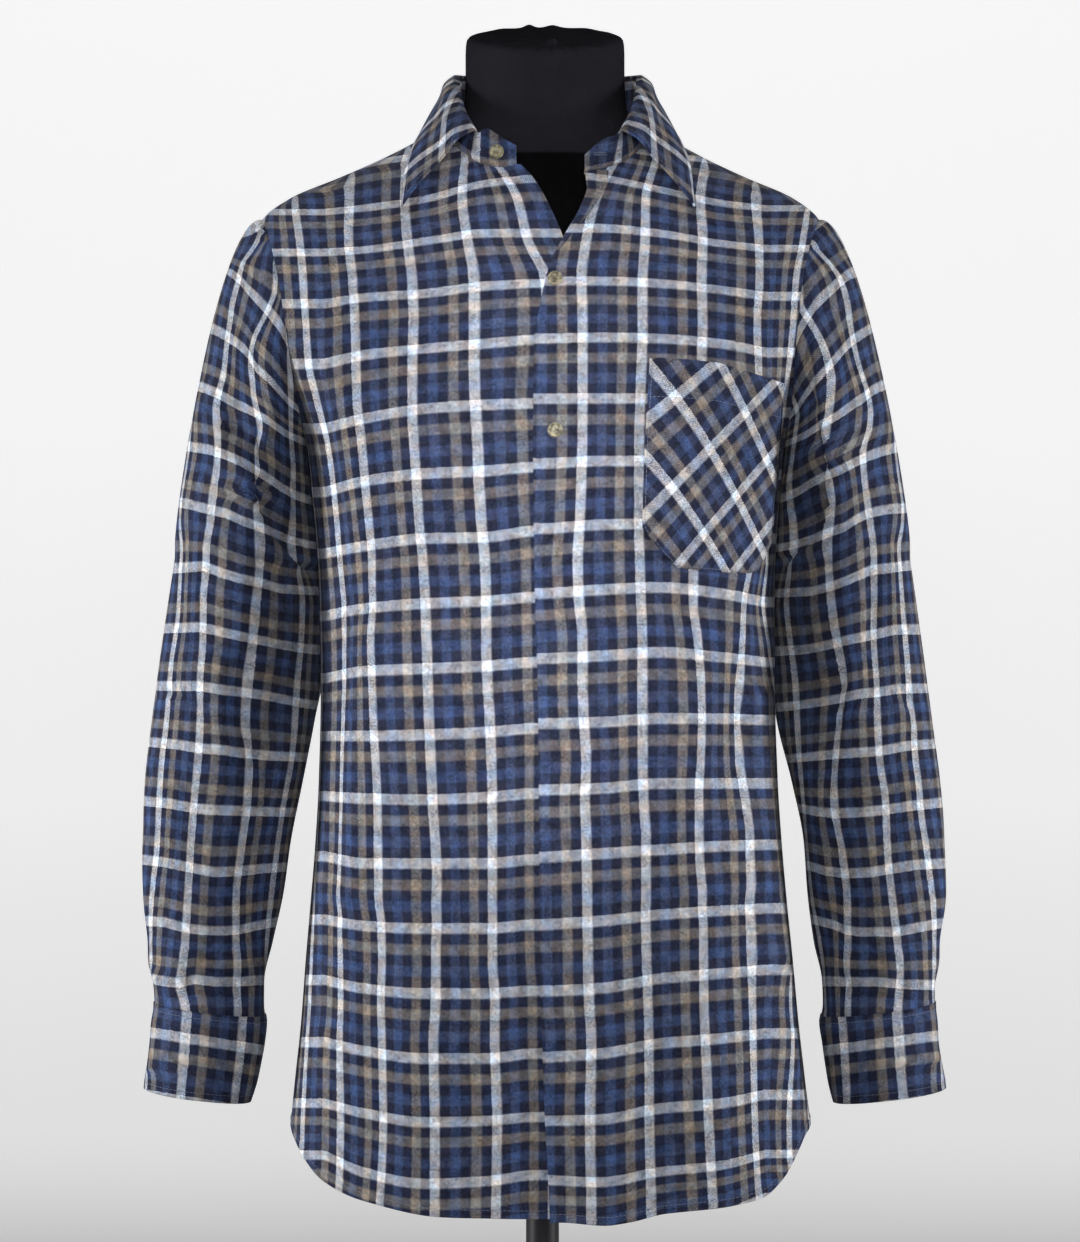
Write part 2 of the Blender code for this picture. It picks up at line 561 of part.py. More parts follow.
def leaf_surface(cols=LEAF_COLS, rows=LEAF_ROWS):
    """Grid of the turned-down collar: row 0 is inside the band's top, the last row is the free edge."""
    t = np.linspace(-1, 1, cols + 1)
    fold = collar_line(t, 0)
    edge = collar_line(t, 3)
    keyed = tuple((float(i),) + row for i, row in enumerate(COLLAR))
    swell = curve(keyed, np.abs(t) * (len(COLLAR) - 1), 7)
    out = edge - fold
    out[:, 2] = 0
    out = unit(out)
    s = np.linspace(0, 1, rows + 1)[:, None, None] ** 1.2
    grid = fold + (edge - fold) * s
    bulge = (4 * s * (1 - s) + 0.9 * np.exp(-((s - 0.12) / 0.16) ** 2)) * swell[:, None]
    lift = 0.25 * np.exp(-((s - 0.15) / 0.2) ** 2) * swell[:, None]
    grid = grid + out * bulge
    grid[..., 2] += lift[..., 0]
    lip = grid[0] + inward_at(fold) * 0.0040
    lip[:, 2] -= 0.0012
    return np.concatenate([lip[None], grid])


def band_surface(cols=36, rows=3):
    """Grid of the collar band from the neckline up, with rounded front ends."""
    t = np.linspace(-1, 1, cols + 1)
    first = np.where(t < 0, CORNER_RIGHT, CORNER_LEFT)
    size = 180 - (180 - first) * np.abs(t)
    right = neck_point(size) * np.array([-1.0, 1.0, 1.0])
    right[:, 0] += 2 * curve(BODY, right[:, 2], 6)
    low = np.where((t < 0)[:, None], right, neck_point(size, True))
    inward = inward_at(low)
    low = low + inward * 0.0006
    low[:, 2] += 0.0029
    station = np.interp(size, COLLAR_ANGLES[::-1], np.arange(len(COLLAR))[::-1])
    under = collar_line(np.sign(t + 1e-9) * station / (len(COLLAR) - 1), 0)
    under = under + inward_at(under) * 0.0026
    under[:, 2] -= 0.0038
    past = smooth((COLLAR_ANGLES[-1] + 3 - size) / 8)[:, None]
    end = np.clip((size - first) / 9.0, 0, 1)
    tall = BAND_END * (0.30 + 0.70 * np.sqrt(1 - (1 - end) ** 2))[:, None]
    front_top = low + np.array([0.0, 0.16, 0.98]) * tall
    top = under * (1 - past) + front_top * past
    s = np.linspace(0, 1, rows + 1)[:, None, None]
    return low + (top - low) * s


# Building ---------------------------------------------------------------------------------------
def material(name, colour, rough, metal=0.0):
    mat = bpy.data.materials.new(name)
    mat.use_nodes = True
    shader = mat.node_tree.nodes["Principled BSDF"]
    shader.inputs["Base Color"].default_value = (*colour, 1.0)
    shader.inputs["Roughness"].default_value = rough
    shader.inputs["Metallic"].default_value = metal
    mat.diffuse_color = (*colour, 1.0)
    return mat


def add_mesh(group, name, verts, faces, mat):
    mesh = bpy.data.meshes.new(name)
    mesh.from_pydata([tuple(map(float, v)) for v in verts], [], faces)
    mesh.validate()
    mesh.update()
    ob = bpy.data.objects.new(name, mesh)
    mesh.materials.append(mat)
    group.objects.link(ob)
    return ob


def sheet_solid(group, name, p, n, wall, mat):
    """Closed wall round an open grid: p are middle points and n their outward normals."""
    rows, cols = p.shape[:2]
    outer = (p + n * wall / 2).reshape(-1, 3)
    inner = (p - n * wall / 2).reshape(-1, 3)
    count = rows * cols
    faces = []
    for i in range(rows - 1):
        for j in range(cols - 1):
            a = i * cols + j
            b = a + 1
            c = a + cols + 1
            d = a + cols
            faces.append((a, b, c, d))
            faces.append((count + a, count + d, count + c, count + b))
    rim = [(0, j) for j in range(cols)] + [(i, cols - 1) for i in range(1, rows)]
    rim += [(rows - 1, j) for j in range(cols - 2, -1, -1)] + [(i, 0) for i in range(rows - 2, 0, -1)]
    ring = [i * cols + j for i, j in rim]
    for a, b in zip(ring, ring[1:] + ring[:1]):
        faces.append((b, a, count + a, count + b))
    return finish(add_mesh(group, name, np.concatenate([outer, inner]), faces, mat))


def tube_solid(group, name, p, n, wall, mat):
    """Closed wall round a tube grid whose columns close on themselves."""
    rows, cols = p.shape[:2]
    outer = (p + n * wall / 2).reshape(-1, 3)
    inner = (p - n * wall / 2).reshape(-1, 3)
    count = rows * cols
    faces = []
    for i in range(rows - 1):
        for j in range(cols):
            k = (j + 1) % cols
            a = i * cols + j
            b = i * cols + k
            c = b + cols
            d = a + cols
            faces.append((a, b, c, d))
            faces.append((count + a, count + d, count + c, count + b))
    for j in range(cols):
        k = (j + 1) % cols
        faces.append((k, j, count + j, count + k))
        a = (rows - 1) * cols + j
        b = (rows - 1) * cols + k
        faces.append((a, b, count + b, count + a))
    return finish(add_mesh(group, name, np.concatenate([outer, inner]), faces, mat))


def capped_solid(group, name, rings, mat):
    """Closed solid from stacked rings with a point at each end."""
    count = len(rings[0])
    verts = [rings[0].mean(0)]
    for ring in rings:
        verts.extend(ring)
    verts.append(rings[-1].mean(0))
    last = len(verts) - 1
    faces = []
    for j in range(count):
        k = (j + 1) % count
        faces.append((0, 1 + k, 1 + j))
        for i in range(len(rings) - 1):
            a = 1 + i * count
            faces.append((a + j, a + k, a + count + k, a + count + j))
        a = 1 + (len(rings) - 1) * count
        faces.append((a + j, a + k, last))
    return finish(add_mesh(group, name, verts, faces, mat))


def finish(ob):
    """Turns the faces outward if the solid came out inside out."""
    mesh = ob.data
    mesh.calc_loop_triangles()
    volume = 0.0
    for tri in mesh.loop_triangles:
        a, b, c = (mesh.vertices[i].co for i in tri.vertices)
        volume += a.dot(b.cross(c)) / 6.0
    if volume < 0:
        mesh.flip_normals()
    return ob


def circle(radius, z, count, x=0.0, y=0.0):
    a = np.linspace(0, 2 * np.pi, count, endpoint=False)
    return np.stack([x + radius * np.cos(a), y + radius * np.sin(a), np.full(count, z)], -1)


# Pieces -----------------------------------------------------------------------------------------
def build_body(group, cloth):
    for side, name in ((-1, "front_right"), (1, "front_left")):
        p, n = front_surface(side, front_grid(side))
        sheet_solid(group, name, p, n, WALL, cloth)
    p, n = back_surface(back_grid())
    sheet_solid(group, "back", p, n, WALL, cloth)


def build_sleeves(group, cloth):
    for side, word in ((-1, "right"), (1, "left")):
        p = sleeve_grid(side)
        n = loop_normals(p)
        tube_solid(group, "sleeve_" + word, mirrored(p, side), mirrored(n, side), WALL, cloth)
        theta = np.linspace(0, 360, p.shape[1], endpoint=False)
        levels = np.linspace(CUFF_SEAM - 0.0009, CUFF_END, CUFF_ROWS + 1)
        q = np.stack([sleeve_ring(side, theta, np.full(len(theta), z), 0.0004) for z in levels])
        m = loop_normals(q)
        tube_solid(group, "cuff_" + word, mirrored(q, side), mirrored(m, side), BAND_WALL, cloth)


def build_collar(group, cloth):
    p = leaf_surface()
    sheet_solid(group, "collar_leaf", p, sheet_normals(p), BAND_WALL, cloth)
    q = band_surface()
    sheet_solid(group, "collar_band", q, -sheet_normals(q), BAND_WALL, cloth)


def pocket_surface(cols=POCKET_COLS, rows=POCKET_ROWS, lift=0.0031):
    """Pocket points: the outline is filled between its left and right sides, then laid on the front."""
    line = np.asarray(POCKET)
    top = line[:5]
    right = line[4:8][::-1]
    bottom = line[7:11][::-1]
    left = np.concatenate([line[:1], line[:9:-1]])[::-1]

    def along(points, t):
        step = np.concatenate([[0], np.cumsum(np.linalg.norm(np.diff(points, axis=0), axis=1))])
        s = t * step[-1]
        return np.stack([np.interp(s, step, points[:, k]) for k in range(2)], -1)

    u = np.linspace(0, 1, cols + 1)
    v = np.linspace(0, 1, rows + 1)
    xz = patch(lambda s: along(bottom, s), lambda s: along(top, s), lambda s: along(left, s),
               lambda s: along(right, s), cols + 1, v)
    angle = body_angle(xz[..., 0], xz[..., 1])
    p = body_point(angle, xz[..., 1])
    n = body_normal(angle, xz[..., 1])
    return p + n * lift, n


def build_pocket(group, cloth):
    p, n = pocket_surface()
    sheet_solid(group, "pocket", p, n, WALL, cloth)


def button_solid(group, name, centre, normal, mat):
    """Round button with a raised rim, lying on a face with the given outward normal."""
    profile = ((0.0, 0.80), (0.25, 1.0), (0.8, 1.0), (1.0, 0.90), (1.0, 0.74), (0.72, 0.62))
    z = np.asarray(normal, float)
    x = unit(np.cross(z, [0.0, 0.0, 1.0]))
    y = np.cross(z, x)
    rings = []
    for height, radius in profile:
        ring = circle(BUTTON_R * radius, BUTTON_T * height, 16)
        rings.append(centre + ring[:, :1] * x + ring[:, 1:2] * y + ring[:, 2:] * z)
    return capped_solid(group, name, rings, mat)


def on_front(x, z, lift):
    angle = body_angle(x, z)
    p = body_point(angle, z)
    n = body_normal(angle, z)
    return p + n * lift, n


def build_buttons(group, horn):
    rest = LAP_LIFT + WALL / 2 + 0.0005
    for name, x, z in (("button_upper", 0.0077, 1.3127), ("button_lower", 0.0077, 1.1962)):
        p, n = on_front(np.float64(x), np.float64(z), rest)
        button_solid(group, name, p, n, horn)
    q = band_surface()
    m = -sheet_normals(q)
    grid = q.reshape(-1, 3)
    near = np.argmin(np.abs(grid[:, 0] + 0.0405) + np.abs(grid[:, 2] - 1.4125) + (grid[:, 1] > 0))
    normal = m.reshape(-1, 3)[near]
    button_solid(group, "button_collar", grid[near] + normal * (BAND_WALL / 2 + 0.0010), normal, horn)


def build_form(group, velvet, metal):
    angle = np.linspace(0, 360, FORM_COLS, endpoint=False)
    a = np.radians(angle)
    rings = []
    for z in [row[0] for row in FORM]:
        width = curve(FORM, z, 1)
        front = np.cos(a) > 0
        depth = np.where(front, curve(FORM, z, 2), curve(FORM, z, 3))
        full = np.where(front, curve(BODY, z, 4), curve(BODY, z, 5))
        full = full + (2.0 - full) * smooth((z - 1.42) / 0.03)
        r = (np.abs(np.sin(a) / width) ** full + np.abs(np.cos(a) / depth) ** full) ** (-1 / full)
        rings.append(np.stack([r * np.sin(a), -r * np.cos(a), np.full(len(a), z)], -1))
    for rise, shrink in ((0.35, 0.0), (0.70, 0.0), (0.93, 0.001), (0.98, 0.004), (1.0, 0.010)):
        r = NECK_R - shrink
        z = 1.470 + (NECK_TOP + 0.002 - 1.470) * rise - r * np.cos(a) * NECK_SLOPE * min(rise * 1.05, 1.0)
        rings.append(np.stack([r * np.sin(a), -r * np.cos(a), z], -1))
    for r in (0.035, 0.012):
        z = NECK_TOP + 0.0025 - r * np.cos(a) * NECK_SLOPE
        rings.append(np.stack([r * np.sin(a), -r * np.cos(a), z], -1))
    capped_solid(group, "form_torso", rings, velvet)
    low = BASE_T + 0.0005
    high = FORM_BOTTOM - 0.0005
    turned = (
        ("stand_flange", 24, POLE_X, ((low, 0.044), (low + 0.001, 0.045), (low + 0.003, 0.045),
                                      (low + 0.020, 0.018))),
        ("stand_pole", 24, POLE_X, ((low + 0.0205, POLE_R), (high - 0.0185, POLE_R))),
        ("stand_plate", 24, POLE_X, ((high - 0.018, 0.018), (high - 0.004, 0.050), (high, 0.052))),
        ("stand_base", 56, 0.0, ((0.0, BASE_R - 0.003), (0.002, BASE_R), (BASE_T - 0.004, BASE_R),
                                 (BASE_T - 0.001, BASE_R - 0.003), (BASE_T, BASE_R - 0.008))),
    )
    for name, count, x, profile in turned:
        capped_solid(group, name, [circle(r, z, count, x) for z, r in profile], metal)


def main():
    for ob in list(bpy.data.objects):
        bpy.data.objects.remove(ob, do_unlink=True)
    group = bpy.data.collections.new("flannel_shirt")
    bpy.context.scene.collection.children.link(group)
    cloth = material("cloth", (0.10, 0.13, 0.22), 0.92)
    horn = material("horn", (0.52, 0.47, 0.30), 0.35)
    velvet = material("form_cover", (0.012, 0.012, 0.015), 0.85)
    metal = material("stand_metal", (0.010, 0.010, 0.012), 0.45)
    build_body(group, cloth)
    build_sleeves(group, cloth)
    build_collar(group, cloth)
    build_pocket(group, cloth)
    build_buttons(group, horn)
    build_form(group, velvet, metal)


main()
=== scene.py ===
"""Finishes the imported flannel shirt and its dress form: cloth, folds, seams, buttons, stage."""

import math

import bpy
import numpy as np
from bpy.props import FloatProperty, FloatVectorProperty, PointerProperty
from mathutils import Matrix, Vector


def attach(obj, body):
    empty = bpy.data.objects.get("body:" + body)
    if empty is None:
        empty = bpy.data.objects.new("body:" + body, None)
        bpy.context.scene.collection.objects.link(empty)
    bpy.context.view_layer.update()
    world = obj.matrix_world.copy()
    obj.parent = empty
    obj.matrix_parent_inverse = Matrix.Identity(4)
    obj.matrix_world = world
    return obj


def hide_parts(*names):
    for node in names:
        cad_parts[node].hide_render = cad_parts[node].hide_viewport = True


bl_info = {
    "name": "Plaid flannel shirt on a dress form",
    "version": (1, 0, 0),
    "blender": (4, 5, 0),
    "location": "View3D > Sidebar > Shirt",
    "description": "Builds the cloth, seams, buttons, form, stand and stage round the packed shirt",
    "category": "Object",
}

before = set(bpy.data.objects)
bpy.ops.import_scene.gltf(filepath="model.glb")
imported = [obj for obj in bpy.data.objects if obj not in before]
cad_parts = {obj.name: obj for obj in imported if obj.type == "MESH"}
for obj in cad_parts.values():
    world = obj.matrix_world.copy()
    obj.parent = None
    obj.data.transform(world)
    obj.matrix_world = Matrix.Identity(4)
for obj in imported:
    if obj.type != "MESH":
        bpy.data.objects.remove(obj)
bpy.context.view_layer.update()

SIDES = ((-1, "right"), (1, "left"))  # the wearer's, with the sign of the side's x

# Sizes --------------------------------
WALL = 0.0016  # cloth wall
BAND_WALL = 0.0018  # collar and cuff wall
LAP_LIFT = 0.0014  # how far each front moves out or in where they lap
LAP_WIDTH = 0.036  # width of the lap
BUTTON_R = 0.0058  # button radius
BUTTON_T = 0.0024  # button thickness
CORNER_RIGHT = 13.5  # angles from the front middle where the neckline ends
CORNER_LEFT = 20.5
POLE_X = -0.002  # the pole's axis
POLE_R = 0.0132  # pole radius
BASE_R = 0.170  # base radius
BASE_T = 0.014  # base thickness
STAND_GAP = 0.0005  # how far the stand's turned pieces keep apart
CORNER_TURN = 35  # angle from which a turned edge stays sharp
TURNED_SIDES = 96
FORM_BOTTOM = 0.735  # underside of the form
NECK_R = 0.0636  # radius of the form's neck
NECK_SLOPE = 0.29  # rise of the neck's top from front to back
NECK_TOP = 1.5155  # height of the neck's rim at its side
ROWS_LOW = 110  # rows of a front or back below the armhole
ROWS_ARM = 48  # rows along an armhole
FRONT_COLS = 64
BACK_COLS = 112
EDGE_STEPS = (0.0, 0.0025, 0.0075)  # column positions next to a front's free edge
ARM_ROW = 0.62  # row position of a panel's armhole
TOP_ROW = 0.999  # row position past which a row lies on the shoulder seam
BACK_SPLIT = 0.52  # share of half a back's top that is shoulder seam
WIDE_HALF = 0.2380  # half width that spreads the grid above the armholes

# Body rows: height, half width, front depth, back depth, front fullness, back fullness, centre x
BODY = (
    (0.540, 0.2085, 0.1300, 0.1240, 2.80, 2.60, 0.0044),
    (0.651, 0.2060, 0.1300, 0.1230, 2.80, 2.60, 0.0044),
    (0.683, 0.2028, 0.1290, 0.1220, 2.80, 2.55, 0.0040),
    (0.731, 0.1976, 0.1280, 0.1200, 2.75, 2.50, 0.0038),
    (0.779, 0.1936, 0.1270, 0.1180, 2.75, 2.50, 0.0034),
    (0.827, 0.1892, 0.1255, 0.1150, 2.70, 2.50, 0.0030),
    (0.875, 0.1852, 0.1245, 0.1130, 2.70, 2.50, 0.0028),
    (0.923, 0.1824, 0.1235, 0.1110, 2.65, 2.45, 0.0026),
    (1.000, 0.1805, 0.1235, 0.1100, 2.60, 2.40, 0.0022),
    (1.080, 0.1812, 0.1245, 0.1110, 2.60, 2.40, 0.0014),
    (1.150, 0.1860, 0.1265, 0.1140, 2.55, 2.40, 0.0008),
    (1.190, 0.1900, 0.1275, 0.1160, 2.50, 2.40, 0.0004),
    (1.215, 0.1995, 0.1275, 0.1170, 2.45, 2.40, 0.0000),
    (1.240, 0.2120, 0.1262, 0.1175, 2.40, 2.35, -0.0012),
    (1.270, 0.2250, 0.1235, 0.1170, 2.35, 2.30, -0.0024),
    (1.300, 0.2320, 0.1190, 0.1150, 2.30, 2.30, -0.0032),
    (1.330, 0.2330, 0.1125, 0.1110, 2.25, 2.20, -0.0036),
    (1.355, 0.2285, 0.1060, 0.1065, 2.15, 2.10, -0.0036),
    (1.3708, 0.2215, 0.1010, 0.1025, 2.05, 2.05, -0.0034),
    (1.3868, 0.2010, 0.0950, 0.0975, 1.95, 2.00, -0.0026),
    (1.4028, 0.1636, 0.0890, 0.0920, 1.90, 1.95, -0.0018),
    (1.4188, 0.1284, 0.0815, 0.0855, 1.90, 1.95, -0.0006),
    (1.4348, 0.0980, 0.0745, 0.0785, 1.95, 1.95, 0.0004),
    (1.4475, 0.0745, 0.0700, 0.0735, 2.00, 2.00, 0.0014),
    (1.4620, 0.0690, 0.0670, 0.0700, 2.00, 2.00, 0.0016),
)
ARMHOLE_LOW = 1.190
SHOULDER_TIP = 1.3700
NECK_SIDE = 1.4475
SIDE_HEM = 0.651
HEM_LOW = 0.588  # height of the hem at the fronts' free edges
CORNER_ROW = 0.81  # row position of a front's top corner

# Armholes: height, x at the front, x at the back
ARMHOLE = (
    (1.1900, 0.1900, 0.1900),
    (1.1945, 0.1904, 0.1904),
    (1.2010, 0.1911, 0.1911),
    (1.2120, 0.1928, 0.1931),
    (1.2300, 0.1950, 0.1966),
    (1.2600, 0.1975, 0.2010),
    (1.2900, 0.2010, 0.2055),
    (1.3200, 0.2058, 0.2095),
    (1.3450, 0.2118, 0.2142),
    (1.3600, 0.2172, 0.2182),
    (1.3700, 0.2219, 0.2219),
)

# Fronts' free edges: height, x
EDGE_LEFT = (
    (0.560, 0.0040), (0.587, 0.0038), (0.625, 0.0023), (0.666, 0.0000), (0.721, -0.0019),
    (0.790, -0.0038), (0.990, -0.0054), (1.066, -0.0077), (1.189, -0.0092), (1.262, -0.0084),
    (1.281, -0.0061), (1.304, -0.0015), (1.3156, 0.0008), (1.344, 0.0140), (1.3695, 0.0280),
    (1.3870, 0.0335), (1.4010, 0.0335),
)
EDGE_RIGHT = (
    (0.560, 0.0240), (0.587, 0.0240), (0.700, 0.0255), (0.900, 0.0270), (1.100, 0.0270),
    (1.250, 0.0270), (1.300, 0.0255), (1.330, 0.0195), (1.353, 0.0116), (1.379, 0.0000),
    (1.3965, -0.0110), (1.4060, -0.0200),
)

# Hems: angle from the front middle, height
HEM_RIGHT = ((-20, 0.5915), (0, 0.5920), (15, 0.5922), (33, 0.5932), (53, 0.6038), (63, 0.6162),
             (69, 0.6296), (75, 0.6424), (82, 0.6500), (90, 0.6510))
HEM_LEFT = ((-5, 0.5895), (3, 0.5899), (18, 0.5876), (26, 0.5899), (35, 0.5954), (49, 0.5992),
            (58, 0.6036), (64, 0.6155), (70.5, 0.6373), (75, 0.6475), (82, 0.6506), (90, 0.6510))
HEM_BACK = ((90, 0.6510), (98, 0.6400), (107, 0.6200), (120, 0.5960), (140, 0.5780), (160, 0.5720),
            (180, 0.5710))

# Neckline: angle from the front middle, height
NECK_EDGE = ((12, 1.4062), (20, 1.4035), (29, 1.4060), (40, 1.4150), (55, 1.4290), (70, 1.4410),
             (80, 1.4455), (90, 1.4475), (110, 1.4490), (140, 1.4510), (180, 1.4520))
NECK_EDGE_LEFT = ((12, 1.3980), (20, 1.3985), (29, 1.4010), (40, 1.4085), (55, 1.4260), (70, 1.4395),
                  (80, 1.4450), (90, 1.4475))

# Sleeves: height, the wearer's left sleeve's outer x, inner x, the right one's outer x, inner x,
# half depth, centre y, tilt, how far the inner side lies forward
SLEEVE = (
    (1.100, 0.2906, 0.1826, 0.2946, 0.1802, 0.0660, -0.004, 0.20, -0.050),
    (1.060, 0.2960, 0.1822, 0.3006, 0.1792, 0.0650, -0.006, 0.18, -0.056),
    (1.019, 0.3016, 0.1822, 0.3064, 0.1792, 0.0635, -0.008, 0.16, -0.052),
    (0.971, 0.3077, 0.1872, 0.3125, 0.1862, 0.0600, -0.010, 0.15, -0.030),
    (0.923, 0.3139, 0.1976, 0.3179, 0.1941, 0.0555, -0.012, 0.14, -0.008),
    (0.875, 0.3177, 0.2066, 0.3201, 0.2030, 0.0515, -0.014, 0.14, 0.000),
    (0.835, 0.3185, 0.2094, 0.3192, 0.2085, 0.0480, -0.015, 0.13, 0.000),
    (0.795, 0.3132, 0.2145, 0.3152, 0.2172, 0.0445, -0.016, 0.13, 0.000),
    (0.763, 0.3098, 0.2211, 0.3112, 0.2240, 0.0410, -0.017, 0.13, 0.000),
    (0.745, 0.3092, 0.2216, 0.3096, 0.2241, 0.0400, -0.018, 0.13, 0.000),
    (0.731, 0.3106, 0.2196, 0.3116, 0.2226, 0.0400, -0.018, 0.13, 0.000),
    (0.715, 0.3114, 0.2218, 0.3128, 0.2242, 0.0400, -0.018, 0.13, 0.000),
    (0.699, 0.3140, 0.2240, 0.3146, 0.2270, 0.0398, -0.019, 0.13, 0.000),
    (0.683, 0.3168, 0.2266, 0.3170, 0.2304, 0.0395, -0.019, 0.13, 0.000),
    (0.667, 0.3180, 0.2306, 0.3180, 0.2355, 0.0392, -0.019, 0.13, 0.000),
    (0.650, 0.3190, 0.2345, 0.3190, 0.2402, 0.0390, -0.019, 0.13, 0.000),
)
SLEEVE_TOP = 1.100
CUFF_SEAM = 0.7425
CUFF_END = 0.6740
CAP_END = 0.35  # pull at the end of the cap, as a share of its length
SLEEVE_GAP = 0.00035  # how far the cap starts from the armhole
CUFF_SEWN = 0.005  # how far the sleeve reaches into its cuff
CUFF_GROW = 0.0006  # how far a cuff stands out from its sleeve's line
CAP_ROWS = 36
ARM_ROWS = 72
CUFF_ROWS = 22

# Start and end pull of the cap at its top, front, bottom and back: (x, y, z)
CAP_PULL = (
    (0.100, 0.000, 0.020),
    (0.040, -0.010, -0.120),
    (-0.004, 0.080, -0.040),
    (0.040, 0.010, -0.120),
)

# Overlap fold of each sleeve by the underarm: angle round (0 outer, 90 front, 180 inner), height
FOLD_RIGHT = ((40, 1.222), (62, 1.192), (83, 1.176), (93, 1.160), (98, 1.144), (109, 1.121),
              (124, 1.104), (145, 1.086), (165, 1.075))
FOLD_LEFT = ((70, 1.285), (85, 1.255), (95, 1.205), (99, 1.150), (110, 1.121), (130, 1.104),
             (150, 1.088), (170, 1.078))
# Soft sleeve folds: height, angle round, depth, half height, half angle, lean in metres a degree
SLEEVE_FOLDS = {
    -1: ((1.120, 62, 0.0022, 0.040, 30, -0.0006), (0.980, 128, -0.0030, 0.030, 26, 0.0004),
         (0.900, 60, -0.0020, 0.016, 50, 0.0003), (0.845, 120, -0.0020, 0.014, 40, -0.0003),
         (0.779, 95, 0.0030, 0.011, 110, 0.0000), (0.757, 95, -0.0022, 0.007, 90, 0.0000),
         (1.150, 250, -0.0040, 0.030, 30, 0.0010), (0.950, 250, -0.0030, 0.022, 40, 0.0003),
         (0.870, 290, -0.0022, 0.018, 50, 0.0003)),
    1: ((1.060, 68, -0.0032, 0.052, 11, 0.0000), (1.045, 47, 0.0020, 0.050, 15, 0.0000),
        (0.990, 130, -0.0030, 0.030, 26, 0.0004), (0.890, 70, -0.0020, 0.018, 46, 0.0003),
        (0.835, 115, -0.0020, 0.014, 40, -0.0003), (0.779, 95, 0.0030, 0.011, 110, 0.0000),
        (0.757, 95, -0.0022, 0.007, 90, 0.0000), (1.140, 245, -0.0040, 0.030, 30, 0.0010),
        (0.940, 255, -0.0030, 0.022, 40, 0.0003), (0.860, 290, -0.0022, 0.018, 50, 0.0003)),
}

# Creases: depth out, half width and path of (sideways place, height), all in millimetres
FRONT_CREASES = (
    (-1.5, 7, ((-172, 822), (-90, 817), (0, 826), (60, 824), (140, 829), (188, 833))),
    (1.0, 9, ((-172, 838), (-90, 833), (0, 842), (60, 840), (140, 845), (188, 849))),
    (-2.4, 5, ((146, 1012), (152, 990), (160, 952), (165, 915))),
    (1.6, 7, ((156, 1010), (163, 985), (171, 950), (176, 920))),
    (-2.6, 10, ((-158, 1060), (-166, 960), (-169, 860), (-172, 740))),
    (2.0, 12, ((-138, 1040), (-146, 940), (-150, 830), (-150, 700))),
    (-2.4, 9, ((-196, 1290), (-178, 1220), (-164, 1140), (-158, 1070))),
    (1.8, 10, ((-180, 1300), (-158, 1230), (-144, 1150), (-138, 1080))),
    (-2.0, 9, ((166, 1060), (172, 980), (176, 900), (182, 800))),
    (2.4, 22, ((-104, 860), (-100, 760), (-94, 587))),
    (-2.4, 15, ((-56, 830), (-50, 720), (-44, 575))),
    (-2.8, 16, ((74, 850), (80, 740), (86, 579))),
    (2.4, 18, ((118, 820), (128, 720), (138, 587))),
    (1.8, 14, ((30, 790), (38, 690), (46, 575))),
    (-1.8, 12, ((166, 780), (172, 700), (176, 620))),
    (-1.6, 7, ((4, 1320), (-24, 1296), (-60, 1272), (-92, 1262))),
    (-1.4, 7, ((14, 1318), (44, 1300), (76, 1288))),
    (-1.4, 8, ((2, 1200), (-36, 1176), (-84, 1160))),
    (1.2, 9, ((-10, 1230), (-60, 1214), (-110, 1200))),
    (-1.2, 10, ((60, 1060), (66, 980), (64, 900))),
    (-1.4, 10, ((-78, 1100), (-84, 1010), (-82, 920))),
)
BACK_CREASES = (
    (-2.6, 16, ((-60, 1300), (-52, 1180), (-44, 1040), (-40, 900))),
    (2.2, 20, ((-20, 1260), (-14, 1120), (-10, 960), (-8, 820))),
    (-2.6, 16, ((40, 1290), (36, 1170), (30, 1030), (34, 880))),
    (2.2, 18, ((90, 1240), (84, 1120), (80, 980))),
    (-2.2, 12, ((-140, 1270), (-128, 1170), (-130, 1060))),
    (-1.8, 8, ((-170, 830), (-90, 818), (0, 826), (90, 820), (172, 834))),
    (2.4, 18, ((-110, 860), (-112, 740), (-108, 600))),
    (-2.6, 16, ((-64, 830), (-60, 700), (-58, 580))),
    (2.6, 18, ((10, 840), (6, 720), (4, 575))),
    (-2.6, 16, ((70, 850), (76, 730), (80, 580))),
    (2.2, 16, ((130, 830), (134, 720), (138, 610))),
    (-1.6, 8, ((-110, 1340), (-40, 1322), (40, 1320), (112, 1338))),
)
